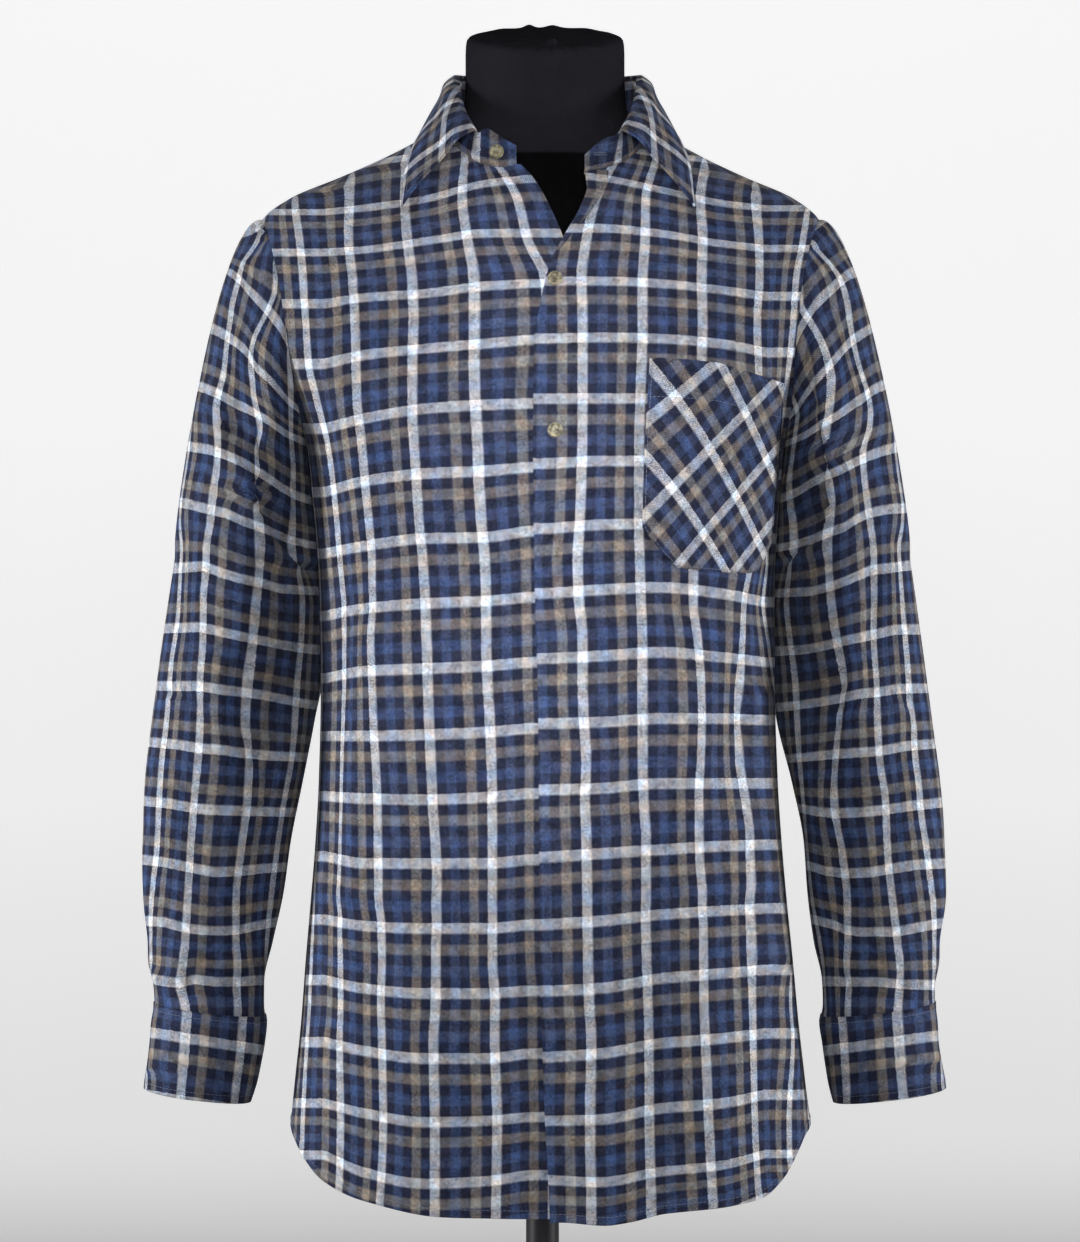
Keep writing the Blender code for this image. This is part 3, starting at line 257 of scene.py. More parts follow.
SLEEVE_CREASES = {
    -1: ((-2.4, 5, ((238, 1275), (235, 1250), (236, 1225))),
         (-2.0, 5, ((229, 1205), (231, 1180))), (2.4, 6, ((221, 1166), (204, 1146), (208, 1112))),
         (-2.8, 6, ((248, 968), (236, 953), (224, 936), (220, 902))),
         (-2.2, 5, ((313, 990), (297, 994), (284, 986), (272, 970))),
         (-2.4, 8, ((230, 1040), (243, 1005), (241, 968))),
         (2.0, 9, ((262, 1010), (258, 960), (254, 910))),
         (-2.0, 7, ((310, 800), (290, 792), (270, 788), (244, 797), (222, 812))),
         (-1.8, 4, ((274, 776), (260, 780), (246, 787))),
         (-2.2, 10, ((262, 1130), (268, 1080), (262, 1035))),
         (-1.8, 9, ((290, 930), (282, 890), (284, 850))),
         (2.0, 8, ((292, 790), (288, 760))), (-2.6, 5, ((286, 772), (284, 745))),
         (-2.2, 5, ((247, 772), (245, 745)))),
    1: ((-3.0, 5, ((259, 1125), (262, 1060), (259, 1003))),
        (-2.8, 5, ((238, 1016), (235, 985), (232, 945))),
        (1.8, 7, ((247, 1040), (245, 980), (240, 930))),
        (-2.2, 5, ((285, 992), (292, 985), (297, 970))),
        (-2.4, 6, ((228, 930), (234, 900), (232, 870))),
        (-2.0, 7, ((308, 800), (288, 790), (268, 788), (240, 797), (222, 812))),
        (-1.8, 4, ((250, 790), (262, 782), (278, 778))),
        (-2.0, 10, ((262, 1230), (264, 1180), (258, 1140))),
        (-1.8, 9, ((284, 930), (276, 890), (280, 850))),
        (2.0, 8, ((276, 790), (278, 760))), (-2.6, 5, ((284, 772), (282, 745))),
        (-2.2, 5, ((240, 772), (241, 745)))),
}

# Facing turned back along the left front's open edge: height, width
FACING = ((1.3985, 0.0150), (1.3900, 0.0150), (1.3780, 0.0115), (1.3650, 0.0088), (1.3500, 0.0050),
          (1.3330, 0.0018), (1.3270, 0.0010))
FACING_LIFT = 0.0016  # how far the facing's roll stands out
FACING_COLS = 10
FACING_ROWS = 60

# Collar, half a round: fold x, y, z; leaf edge x, y, z; outward swell of the leaf
COLLAR = (
    (0.0000, 0.0740, 1.4930, 0.0000, 0.1060, 1.4520, 0.0060),
    (0.0360, 0.0650, 1.4925, 0.0520, 0.0935, 1.4505, 0.0060),
    (0.0610, 0.0420, 1.4905, 0.0860, 0.0600, 1.4480, 0.0055),
    (0.0728, 0.0080, 1.4862, 0.0975, 0.0070, 1.4400, 0.0045),
    (0.0714, -0.0250, 1.4712, 0.1050, -0.0480, 1.4250, 0.0045),
    (0.0665, -0.0560, 1.4525, 0.1100, -0.0850, 1.4025, 0.0050),
    (0.0550, -0.0900, 1.4300, 0.1125, -0.1170, 1.3680, 0.0060),
)
COLLAR_KEYED = tuple((i,) + row for i, row in enumerate(COLLAR))
COLLAR_ANGLES = (180, 151, 125, 96, 71, 50, 31.5)
COLLAR_X = 0.0024  # middle of the collar
BAND_END = 0.0265  # height of the band's front ends
BAND_FINE = (240, 12)  # columns and rows of the band's cloth
LEAF_STAND = 0.0060  # how far the leaf's points stand off
LEAF_COLS = 150
LEAF_ROWS = 30

# Pocket outline on the wearer's left front: x and height, round from the top inner corner
POCKET = ((0.0800, 1.2520), (0.1085, 1.2510), (0.1330, 1.2490), (0.1560, 1.2430), (0.1838, 1.2360),
          (0.1815, 1.1800), (0.1750, 1.1120), (0.1640, 1.0900), (0.1560, 1.0870), (0.1300, 1.0880),
          (0.1010, 1.0910), (0.0875, 1.1050), (0.0740, 1.1220), (0.0760, 1.1850))
POCKET_COLS = 46
POCKET_ROWS = 46
POCKET_LIFT = 0.0031  # how far the pocket lies out from the front

# Dress form rows: height, half width, front depth, back depth
FORM = (
    (0.735, 0.1460, 0.0900, 0.0880), (0.745, 0.1560, 0.0980, 0.0960),
    (0.800, 0.1620, 0.1020, 0.0990), (0.880, 0.1570, 0.0980, 0.0930),
    (0.960, 0.1500, 0.0940, 0.0880), (1.040, 0.1540, 0.0980, 0.0900),
    (1.120, 0.1640, 0.1080, 0.0980), (1.190, 0.1740, 0.1160, 0.1060),
    (1.250, 0.1840, 0.1165, 0.1090), (1.300, 0.1900, 0.1110, 0.1070),
    (1.340, 0.1930, 0.1020, 0.1010), (1.3600, 0.1930, 0.0955, 0.0960),
    (1.3720, 0.1880, 0.0905, 0.0920), (1.3868, 0.1740, 0.0850, 0.0870),
    (1.4028, 0.1440, 0.0795, 0.0815), (1.4188, 0.1130, 0.0735, 0.0755),
    (1.4300, 0.0920, 0.0690, 0.0710), (1.4400, 0.0760, 0.0655, 0.0680),
    (1.4520, 0.0665, 0.0642, 0.0655), (1.4700, 0.0640, 0.0636, 0.0640),
)
FORM_COLS = 160
FORM_TOP = 1.470  # height where the trunk ends and the neck starts
NECK_SHADE_SEAM = (1.4145, 1.4175)  # heights between which the neck's cover meets the body's far darker jersey, whose darkness is painted shade of the hollow under the collar
KNOT = (0.0062, -0.0420)  # the gathered cover's knot: x, y
# Bumps at the back of the neck's rim: x, height, half width
RIM_BUMPS = ((-0.0130, 0.0026, 0.0045), (0.0060, 0.0020, 0.0060), (0.034, 0.0010, 0.010),
             (-0.036, 0.0008, 0.008))
# Rings of the neck up to its rim: share of its height, how much narrower
NECK_RINGS = ((0.2, 0.0), (0.35, 0.0), (0.55, 0.0), (0.70, 0.0), (0.84, 0.0003), (0.93, 0.001),
              (0.97, 0.0025), (0.99, 0.005), (1.0, 0.009))

# Plaid charts -------------------------
WARP_MM = 46.6  # one repeat across
WEFT_MM = 50.5  # one repeat down
EYE = 3.0  # charts are seen level from this far in front
LEVEL = 1.05  # height of the eye
NEAR = 1.017  # how much larger a sleeve's front is seen than its middle
YARN_BLEND = 0.704  # how warp and weft colours mix where they cross
BAND_SOFT = 0.016  # softness of a band's edge, in repeats
WARM_TINT = (1.12, 1.0, 0.90)
COOL_TINT = (0.90, 1.0, 1.10)
BODY_SPAN = (0.545, 1.4615)  # heights between which lengths over the body are measured

# White stripes down the wearer's left front: height, sideways place of stripes 0 to 4
COLUMNS_LEFT = (
    (1419, 57, 88, 128, 170, 214), (1387, 41, 80, 124, 168, 211), (1355, 33, 80, 126, 171, 206),
    (1323, 29, 78, 125, 172, 200), (1291, 30, 78, 126, 170, 198), (1227, 30, 76, 124, 172, 191),
    (1195, 30, 75, 124, 172, 187), (1163, 29, 75, 122, 166, 183), (1131, 28, 75, 117, 162, 177),
    (1099, 26, 76, 118, 165, 177), (1067, 27, 77, 118, 160, 174), (1035, 30, 78, 122, 158, 178),
    (1003, 30, 78, 125, 155, 182), (971, 31, 78, 126, 153, 186), (939, 33, 78, 125, 154, 190),
    (907, 32, 79, 123, 159, 191), (875, 33, 81, 123, 163, 193), (811, 34, 81, 126, 163, 200),
    (747, 35, 83, 126, 166, 196), (715, 37, 84, 127, 167, 198), (651, 36, 84, 130, 168, 195),
    (587, 37, 85, 134, 171, 196),
)
# The same on the wearer's right front, stripes -1 to 3, away from the free edge
COLUMNS_RIGHT = (
    (1419, -42, -63, -110, -154, -198), (1387, -22, -66, -112, -156, -200),
    (1355, -14, -62, -110, -157, -196), (1323, 1, -57, -106, -154, -193),
    (1291, 3, -57, -105, -152, -191), (1259, 2, -57, -106, -151, -190),
    (1227, -1, -56, -106, -150, -184), (1195, 0, -54, -105, -146, -177),
    (1163, 0, -53, -103, -143, -172), (1131, 1, -51, -101, -140, -168),
    (1099, 1, -48, -98, -138, -165), (1067, 1, -47, -96, -138, -162),
    (1035, 2, -47, -95, -139, -161), (1003, 2, -46, -94, -138, -161),
    (971, 3, -44, -93, -137, -162), (907, 2, -42, -90, -134, -164),
    (843, 2, -42, -86, -133, -164), (779, 3, -42, -87, -130, -162),
    (747, 5, -40, -87, -131, -162), (715, 5, -40, -89, -130, -163),
    (651, 6, -38, -88, -129, -163), (587, 6, -39, -88, -132, -164),
)
# White rows of the fronts from the top down: heights at the sideways places below
ROWS_LEFT_X = (2, 44, 92, 140, 176)
ROWS_LEFT = (
    (1435, 1430, 1423, 1417, 1406), (1409, 1405, 1395, 1384, 1380), (1364, 1364, 1360, 1352, 1348),
    (1322, 1322, 1320, 1315, 1310), (1276, 1277, 1276, 1272, 1265), (1228, 1228, 1228, 1224, 1217),
    (1176, 1178, 1178, 1174, 1167), (1124, 1127, 1128, 1124, 1116), (1072, 1075, 1077, 1072, 1065),
    (1020, 1022, 1025, 1021, 1017), (968, 969, 972, 972, 971), (915, 916, 920, 920, 920),
    (861, 864, 867, 870, 871), (807, 810, 815, 818, 820), (754, 756, 764, 768, 771),
    (701, 704, 712, 716, 720), (650, 651, 660, 664, 671), (603, 601, 609, 614, 623),
    (555, 555, 569, 576, 590),
)
ROWS_RIGHT_X = (-176, -144, -96, -48, -14)
ROWS_RIGHT = (
    (1403, 1415, 1423, 1432, 1436), (1377, 1380, 1387, 1400, 1404), (1345, 1347, 1354, 1360, 1360),
    (1304, 1309, 1312, 1318, 1320), (1256, 1263, 1268, 1272, 1275), (1204, 1212, 1220, 1223, 1224),
    (1153, 1162, 1168, 1170, 1173), (1104, 1110, 1116, 1117, 1122), (1054, 1060, 1064, 1066, 1069),
    (1004, 1010, 1012, 1014, 1017), (958, 958, 959, 961, 964), (910, 908, 907, 909, 912),
    (862, 856, 856, 856, 859), (811, 806, 804, 804, 807), (763, 756, 752, 752, 754),
    (713, 706, 700, 700, 704), (664, 656, 649, 650, 653), (623, 609, 600, 602, 607),
    (577, 558, 549, 551, 555),
)
# White stripes of the sleeves: height, sideways place of stripes 1 to 3; then the outer stripe, which
# shows low down only
STRIPES_RIGHT = (
    (1358, 226, 214, 204), (1347, 234, 214, 204), (1336, 242, 214, 204), (1326, 244, 214, 204),
    (1315, 247, 214, 204), (1303, 250, 218, 204), (1291, 251, 224, 204), (1279, 253, 231, 204),
    (1267, 254, 235, 204), (1255, 255, 236, 204), (1243, 257, 234, 204), (1231, 261, 233, 204),
    (1217, 263, 230, 204), (1203, 262, 227, 204), (1188, 261, 230, 203), (1174, 262, 231, 202),
    (1160, 264, 232, 202), (1145, 266, 231, 202), (1131, 267, 230, 202), (1111, 271, 229, 203),
    (1091, 272, 229, 198), (1067, 274, 232, 194), (1035, 274, 235, 195), (1003, 276, 239, 198),
    (971, 276, 241, 200), (939, 278, 237, 203), (907, 281, 238, 209), (867, 284, 243, 215),
    (827, 286, 247, 220), (795, 288, 247, 223), (775, 290, 246, 224), (759, 292, 247, 224),
    (744, 287, 246, 225),
)
OUTER_STRIPE_RIGHT = (
    (1107, 290), (1051, 293), (1019, 298), (995, 300), (971, 302), (939, 306), (907, 308), (867, 310),
    (843, 313), (811, 315), (744, 314),
)
STRIPES_LEFT = (
    (1358, 208, 202, 193), (1347, 216, 202, 193), (1336, 227, 202, 193), (1326, 235, 202, 193),
    (1315, 239, 202, 193), (1303, 242, 202, 193), (1291, 243, 210, 193), (1279, 245, 218, 193),
    (1267, 247, 224, 193), (1255, 250, 228, 193), (1243, 254, 230, 193), (1231, 258, 229, 196),
    (1217, 260, 227, 203), (1203, 259, 225, 201), (1188, 254, 224, 199), (1174, 254, 226, 197),
    (1160, 255, 228, 195), (1145, 257, 230, 196), (1131, 259, 229, 198), (1111, 263, 227, 199),
    (1091, 264, 228, 196), (1067, 264, 230, 193), (1035, 263, 235, 196), (1003, 265, 241, 200),
    (971, 266, 237, 202), (939, 268, 233, 204), (907, 273, 231, 207), (867, 274, 238, 210),
    (827, 278, 242, 214), (795, 282, 242, 220), (775, 284, 241, 223), (759, 284, 243, 224),
    (744, 282, 242, 225),
)
OUTER_STRIPE_LEFT = (
    (1107, 282), (1051, 286), (1019, 289), (1003, 290), (987, 291), (971, 294), (947, 295), (923, 298),
    (899, 300), (875, 304), (851, 307), (827, 310), (803, 311), (744, 310),
)
# White rows of the sleeves from the top down: (sideways place, height) from the outside in
SLEEVE_ROWS_RIGHT = (
    ((238, 1361), (230, 1366), (223, 1372)),
    ((254, 1332), (244, 1324), (236, 1314), (226, 1303), (220, 1296), (212, 1285), (207, 1275)),
    ((267, 1284), (258, 1280), (247, 1273), (238, 1265), (231, 1252), (220, 1242), (206, 1225)),
    ((274, 1237), (262, 1232), (248, 1224), (234, 1218), (223, 1212), (208, 1201)),
    ((282, 1189), (268, 1187), (256, 1183), (244, 1178), (236, 1173), (224, 1166), (212, 1157),
     (202, 1151)),
    ((286, 1144), (276, 1141), (267, 1139), (254, 1136), (242, 1130), (230, 1126), (204, 1115),
     (188, 1111)),
    ((294, 1092), (272, 1094), (258, 1088), (244, 1084), (226, 1080), (212, 1076), (194, 1075)),
    ((302, 1044), (276, 1045), (258, 1041), (236, 1036), (212, 1031), (194, 1028)),
    ((308, 998), (276, 998), (258, 995), (240, 993), (226, 991), (212, 988), (194, 984)),
    ((314, 953), (292, 951), (276, 948), (260, 947), (240, 944), (220, 942), (192, 941)),
    ((320, 906), (300, 904), (280, 900), (268, 899), (240, 898), (206, 897)),
    ((320, 859), (304, 857), (284, 853), (264, 849), (244, 850), (226, 852), (210, 853)),
    ((318, 810), (304, 809), (286, 804), (272, 802), (256, 802), (244, 803), (232, 806), (218, 809)),
    ((314, 764), (304, 762), (292, 761), (280, 764), (264, 762), (248, 762), (226, 763)),
)
SLEEVE_ROWS_LEFT = (
    ((206, 1361), (214, 1365), (222, 1372)),
    ((254, 1331), (242, 1327), (234, 1320), (225, 1312), (216, 1303), (209, 1292), (204, 1283),
     (200, 1271)),
    ((265, 1287), (254, 1280), (246, 1275), (240, 1269), (233, 1260), (226, 1252), (218, 1243),
     (210, 1232), (203, 1220)),
    ((271, 1239), (262, 1235), (254, 1228), (246, 1223), (238, 1217), (230, 1212), (220, 1207),
     (210, 1200)),
    ((278, 1188), (268, 1185), (257, 1181), (246, 1176), (234, 1170), (224, 1166), (214, 1161),
     (202, 1153)),
    ((285, 1140), (272, 1139), (258, 1136), (248, 1131), (240, 1125), (228, 1121), (214, 1115),
     (196, 1110)),
    ((294, 1095), (272, 1092), (260, 1091), (252, 1087), (240, 1082), (230, 1078), (214, 1074),
     (194, 1073)),
    ((299, 1043), (280, 1043), (264, 1039), (244, 1035), (224, 1030), (208, 1027), (191, 1026)),
    ((306, 996), (284, 996), (266, 993), (252, 992), (236, 988), (220, 985), (200, 982)),
    ((313, 952), (288, 950), (268, 946), (256, 945), (236, 944), (208, 941), (198, 940)),
    ((318, 905), (292, 902), (272, 899), (252, 897), (232, 896), (216, 898), (206, 900)),
    ((320, 856), (296, 855), (276, 852), (260, 849), (240, 848), (224, 850), (212, 854)),
    ((314, 808), (300, 805), (280, 801), (252, 801), (240, 803), (232, 807), (218, 811)),
    ((310, 759), (284, 760), (268, 762), (244, 762), (224, 762)),
)

# Cuffs: white stripes and the outer stripe as on the sleeves; the ends of the white row
CUFF_STRIPES = {-1: (((737, 286, 242), (707, 288, 244), (668, 292, 249)), ((737, 316), (668, 319))),
                1: (((737, 281, 238), (707, 283, 240), (668, 287, 242)), ((737, 313), (668, 319)))}
CUFF_ROW = {-1: ((312, 720.4), (229, 707.2)), 1: ((311, 718.0), (228, 706.8))}
# Where the plaid starts, in repeats across and down, at the back middle of leaf and band
LEAF_START = (0.406, 0.148)
BAND_START = (0.5, 0.3)
LEAF_TURN = math.radians(23)
LEAF_TURN_FROM = 3.5  # repeats from the back middle where the plaid starts to turn
LEAF_SKEW = 0.122  # repeats that the right half of the leaf is moved along
FACING_START = -0.11  # repeats across at the facing's open edge
# The pocket's repeats across and down, by 1, x, y, xy, xx and yy in tenths of a metre from its middle
POCKET_MIDDLE = (130, 1170)
POCKET_BIAS = ((0.26, -2.139, -1.292, 0.193, -0.675, 0.074),
               (1.251, 1.696, -1.588, -0.49, 0.477, 0.045))
# Buttons and the buttonhole on the band: x, height
BUTTONS = (("button_upper", 0.0077, 1.3127), ("button_lower", 0.0077, 1.1962))
COLLAR_BUTTON = (-0.0405, 1.4125)
BUTTONHOLE = (0.0416, 1.4129)
BUTTON_SIDES = 56
BUTTON_HOLE = 0.0013  # how far the holes are from the button's middle
# Outline of a button's back: share of its radius, share of its thickness
BUTTON_BACK = ((0.45, 0.0), (0.80, 0.02), (0.93, 0.16), (1.0, 0.42))
HEM_STEPS = (0.0008, 0.0068, 0.0082)  # row positions of the fold at the hem
HEM_ROWS = 4  # rows of a panel in its doubled hem
HEM_STEP = 0.0006  # how far the hem stands out
# Rings of a stitch: place along it, share of its radius, how far it sinks, in radii
STITCH_RINGS = ((0.0, 0.35, 0.8), (0.18, 1.0, 0.1), (0.82, 1.0, 0.1), (1.0, 0.35, 0.8))
SEWN_ROWS = 8  # rows of a panel from its hem that the hem's stitches need

# Stage: depth of the floor's front end, where it starts to rise, radius of the rise, height, half width
FLOOR = (-6.0, 2.2, 1.4, 6.0, 7.0)
FLOOR_DROP = 0.0005  # how far the floor lies below the stand
# The backdrop's own light: where it fades sideways and in depth, and its share by height over 3 m
POOL_WIDTH = (2.4, 4.4)
POOL_DEPTH = (2.3, 3.0)
GLOW_STOPS = ((0.0, 0.60), (0.25, 0.86), (0.7, 1.0))
# Lights: name, place, aim, width, height, spread in degrees, its power's setting
LIGHTS = (
    ("side_left", (-2.923, -0.675, 0.9), (0, 0, 0.9), 0.4, 1.2, 60, "left_power"),
    ("side_right", (2.923, -0.675, 0.9), (0, 0, 0.9), 0.4, 1.2, 60, "right_power"),
    ("top", (0.0, -2.2, 2.9), (0, 0, 1.1), 1.0, 0.6, 90, "top_power"),
    ("front", (0.0, -3.4, 1.3), (0, 0, 1.0), 0.6, 0.6, 60, "front_power"),
    ("middle", (0.0, -3.4, 1.3), (0, 0, 1.14), 0.1, 0.6, 7, "middle_power"),
)
ROOM_LIGHT = 0.05  # strength of the world's light on the part
ROOM_SEEN = 0.80  # strength of the world as the camera sees it
SENSOR = 36.0  # in mm, as the lens is
LENS = 108.7
SHIFT = -5 / 1242  # sideways shift of the view, as a share of its long side


# Curves -------------------------------
def curve(rows, at, column=1):
    """Smooth curve through one column of a table."""
    table = np.asarray(rows, float)
    x = table[:, 0]
    y = table[:, column]
    at = np.clip(np.asarray(at, float), x[0], x[-1])
    step = np.diff(x)
    rise = np.diff(y) / step
    slope = np.empty_like(y)
    slope[0] = rise[0]
    slope[-1] = rise[-1]
    same = rise[:-1] * rise[1:] > 0
    mean = 2 * rise[:-1] * rise[1:] / np.where(same, rise[:-1] + rise[1:], 1.0)
    slope[1:-1] = np.where(same, mean, 0.0)
    i = np.clip(np.searchsorted(x, at, side="right") - 1, 0, len(x) - 2)
    t = (at - x[i]) / step[i]
    a = y[i] * (1 + 2 * t) * (1 - t) ** 2 + y[i + 1] * t * t * (3 - 2 * t)
    return a + step[i] * t * (1 - t) * (slope[i] * (1 - t) - slope[i + 1] * t)


def rising(rows):
    """A table that is listed from the top down, turned to run upwards."""
    return tuple(sorted(rows, key=lambda row: row[0]))


def smooth(t):
    t = np.clip(t, 0.0, 1.0)
    return t * t * (3 - 2 * t)


def unit(v):
    return v / np.maximum(np.linalg.norm(v, axis=-1, keepdims=True), 1e-12)


# Creases ------------------------------
CREASE_DEPTH = 0.0015  # metres for each millimetre of a crease table's depth


def creased(x, height, creases):
    """How far listed creases move points out, in metres: places and heights in millimetres."""
    push = np.zeros(np.broadcast(x, height).shape)
    for depth, wide, path in creases:
        path = np.asarray(path, float)
        legs = np.linalg.norm(np.diff(path, axis=0), axis=1)
        near = np.full(push.shape, 1e9)
        where = np.zeros(push.shape)
        done = 0.0
        for a, b, leg in zip(path[:-1], path[1:], legs):
            t = ((x - a[0]) * (b[0] - a[0]) + (height - a[1]) * (b[1] - a[1])) / leg ** 2
            t = np.clip(t, 0, 1)
            away = np.hypot(x - a[0] - t * (b[0] - a[0]), height - a[1] - t * (b[1] - a[1]))
            where = np.where(away < near, done + t * leg, where)
            near = np.minimum(near, away)
            done += leg
        t = where / done
        swell = 0.25 + 0.75 * np.sin(np.pi * (0.08 + 0.84 * t)) * (1 + 0.25 * np.sin(9 * t + depth))
        push += depth * CREASE_DEPTH * swell * np.exp(-(near / wide) ** 2)
    return push


def body_push(x, z, back=False):
    """Creases of the body at places and heights in metres; they die out by the seams."""
    side = armhole_x(z, back) - np.abs(x - curve(BODY, z, 6))
    hold = smooth(side / 0.022) * smooth((1.400 - z) / 0.035)
    return creased(x * 1000, z * 1000, BACK_CREASES if back else FRONT_CREASES) * hold


# Body surface -------------------------
def body_point(angle, z):
    """Point of the shirt's body at an angle from the front middle (degrees, + to +X) and a height."""
    a = np.radians(angle)
    s = np.sin(a)
    c = np.cos(a)
    width = curve(BODY, z, 1)
    front = c > 0
    depth = np.where(front, curve(BODY, z, 2), curve(BODY, z, 3))
    full = np.where(front, curve(BODY, z, 4), curve(BODY, z, 5))
    r = (np.abs(s / width) ** full + np.abs(c / depth) ** full) ** (-1.0 / full)
    return np.stack([r * s + curve(BODY, z, 6), -r * c, z + 0 * r], -1)


def body_normal(angle, z):
    da = body_point(angle + 1.5, z) - body_point(angle - 1.5, z)
    dz = body_point(angle, z + 0.002) - body_point(angle, z - 0.002)
    return unit(np.cross(da, dz))


def wide_half(z):
    """Half width of a body that doesn't narrow above the armholes, used to spread the grid."""
    width = curve(BODY, z, 1)
    return width + (WIDE_HALF - width) * smooth((np.asarray(z, float) - 1.25) / 0.06)


def body_angle(x, z, back=False, wide=False):
    """Angle of the body point at a given x and height."""
    width = wide_half(z) if wide else curve(BODY, z, 1)
    depth = curve(BODY, z, 3 if back else 2)
    full = curve(BODY, z, 5 if back else 4)
    off = np.asarray(x, float) - curve(BODY, z, 6)
    y = depth * np.maximum(1 - np.abs(off / width) ** full, 0.0) ** (1 / full)
    return np.degrees(np.arctan2(off, -y if back else y))


def wide_to_body(angle, z, back=False):
    """Turns an angle on the unnarrowed body into the angle on the body itself."""
    a = np.radians(angle)
    depth = curve(BODY, z, 3 if back else 2)
    full = curve(BODY, z, 5 if back else 4)
    s = np.sin(a)
    r = (np.abs(s / wide_half(z)) ** full + np.abs(np.cos(a) / depth) ** full) ** (-1.0 / full)
    out = body_angle(r * s + curve(BODY, z, 6), z, back)
    return np.where(out < 0, out + 360, out) if back else out


def armhole_x(z, back=False):
    x = curve(ARMHOLE, z, 2 if back else 1)
    return np.where(np.asarray(z) <= ARMHOLE_LOW, curve(BODY, z, 1), x)


def armhole_angle(z, back=False, wide=False):
    """Angle of the armhole's edge on the +X side."""
    x = np.minimum(armhole_x(z, back), curve(BODY, z, 1) if not wide else 1.0)
    return body_angle(x + curve(BODY, z, 6), z, back, wide)


# Panels -------------------------------
def patch(bottom, top, left, right, u, rows):
    """Blends four edge curves, each a function of 0 to 1 giving (angle, height), into a grid."""
    u = u[None, :, None]
    v = rows[:, None, None]
    b = bottom(u[0, :, 0])[None]
    t = top(u[0, :, 0])[None]
    l = left(v[:, 0, 0])[:, None]
    r = right(v[:, 0, 0])[:, None]
    flat = (1 - v) * b + v * t + (1 - u) * l + u * r
    corner = (1 - u) * (1 - v) * b[:, :1] + u * (1 - v) * b[:, -1:]
    corner = corner + (1 - u) * v * t[:, :1] + u * v * t[:, -1:]
    return flat - corner


def panel_rows():
    """Row positions from 0 to 1, with the armhole in the last part."""
    t = np.linspace(0, 1, ROWS_ARM + 1)[1:]
    eased = 0.2 * t + 0.8 * (0.5 - 0.5 * np.cos(np.pi * t))
    low_rows = np.sort(np.concatenate([np.linspace(0, ARM_ROW, ROWS_LOW + 1), HEM_STEPS]))
    return np.concatenate([low_rows, ARM_ROW + (1 - ARM_ROW) * eased])


def arm_height(v):
    """Height of the side edge at a row position: side seam, then armhole."""
    side = SIDE_HEM + (ARMHOLE_LOW - SIDE_HEM) * np.clip(v / ARM_ROW, 0, 1)
    up = (SHOULDER_TIP - ARMHOLE_LOW) * (v - ARM_ROW) / (1 - ARM_ROW)
    return np.where(v < ARM_ROW, side, ARMHOLE_LOW + up)


def neck_point(angle, left=False):
    """Point of the neckline at an angle from the front middle, on the +X side."""
    angle = np.asarray(angle, float)
    z = curve(NECK_EDGE, angle)
    if left:
        z = np.where(angle < 90, curve(NECK_EDGE_LEFT, angle), z)
    return body_point(angle, z)


def side_line(v, back=False):
    z = arm_height(v)
    a = np.where(v < ARM_ROW, 90.0, armhole_angle(z, back, True))
    return np.stack([a, z], -1)


def ridge_line(t, back=False):
    """Shoulder seam from the neck (0) to the tip (1)."""
    z = NECK_SIDE + (SHOULDER_TIP - NECK_SIDE) * t
    x = curve(BODY, z, 1) + curve(BODY, z, 6)
    return np.stack([body_angle(x, z, back, True), z], -1)


def neck_line(t, first, last, left=False, back=False):
    """Neckline between two angles as (angle, height) on the unnarrowed body."""
    p = neck_point(first + (last - first) * t, left)
    return np.stack([body_angle(p[..., 0], p[..., 2], back, True), p[..., 2]], -1)


def front_grid(side, u, rows):
    """(angle, height) grid of a front: side is +1 for the wearer's left, which laps over."""
    left = side > 0
    edge = EDGE_LEFT if left else EDGE_RIGHT
    hem = HEM_LEFT if left else HEM_RIGHT
    first = CORNER_LEFT if left else CORNER_RIGHT
    corner = neck_line(np.zeros(1), first, 90, left)[0]
    corner_x = neck_point(first, left)[0]
    hem_a = float(mirror_angle(float(curve(edge, HEM_LOW)), HEM_LOW, side))

    def hem_line(u):
        a = hem_a + (90 - hem_a) * u ** 0.95
        return np.stack([a, curve(hem, a)], -1)

    def edge_line(v):
        low = float(curve(hem, hem_a))
        up = np.clip((v - ARM_ROW) / (CORNER_ROW - ARM_ROW), 0, 1) ** 0.55
        z = np.where(v < ARM_ROW, low + (ARMHOLE_LOW - low) * v / ARM_ROW,
                     ARMHOLE_LOW + (corner[1] - ARMHOLE_LOW) * up)
        x = curve(edge, z)
        x = x + (side * corner_x - float(curve(edge, corner[1]))) * smooth((z - 1.375) / 0.025)
        free = np.stack([mirror_angle(x, z, side), z], -1)
        t = np.clip((v - CORNER_ROW) / (1 - CORNER_ROW), 0, 1)
        neck = neck_line(t, first, 90, left)
        return np.where((v <= CORNER_ROW)[:, None], free, neck)

    grid = patch(hem_line, ridge_line, edge_line, side_line, u, rows)
    grid[..., 0] = wide_to_body(grid[..., 0], grid[..., 1])
    grid[rows > TOP_ROW, :, 0] = 90.0
    return grid


def mirror_angle(x, z, side):
    """Angle, counted towards the front's own side, of the point at x."""
    middle = curve(BODY, z, 6)
    return body_angle(middle + side * (x - middle), z, False, True)


def lap_lift(x, z, side):
    """Offset that keeps the lapping fronts apart near the middle."""
    edge = curve(EDGE_LEFT, z) if side > 0 else curve(EDGE_RIGHT, z)
    reach = np.abs(x - edge)
    return side * LAP_LIFT * (1 - smooth((reach - LAP_WIDTH) / 0.03))


def front_surface(side, grid):
    a = grid[..., 0] * side
    z = grid[..., 1]
    p = body_point(a, z)
    n = body_normal(a, z)
    push = lap_lift(p[..., 0], z, side) + body_push(p[..., 0], z)
    return p + n * push[..., None], n


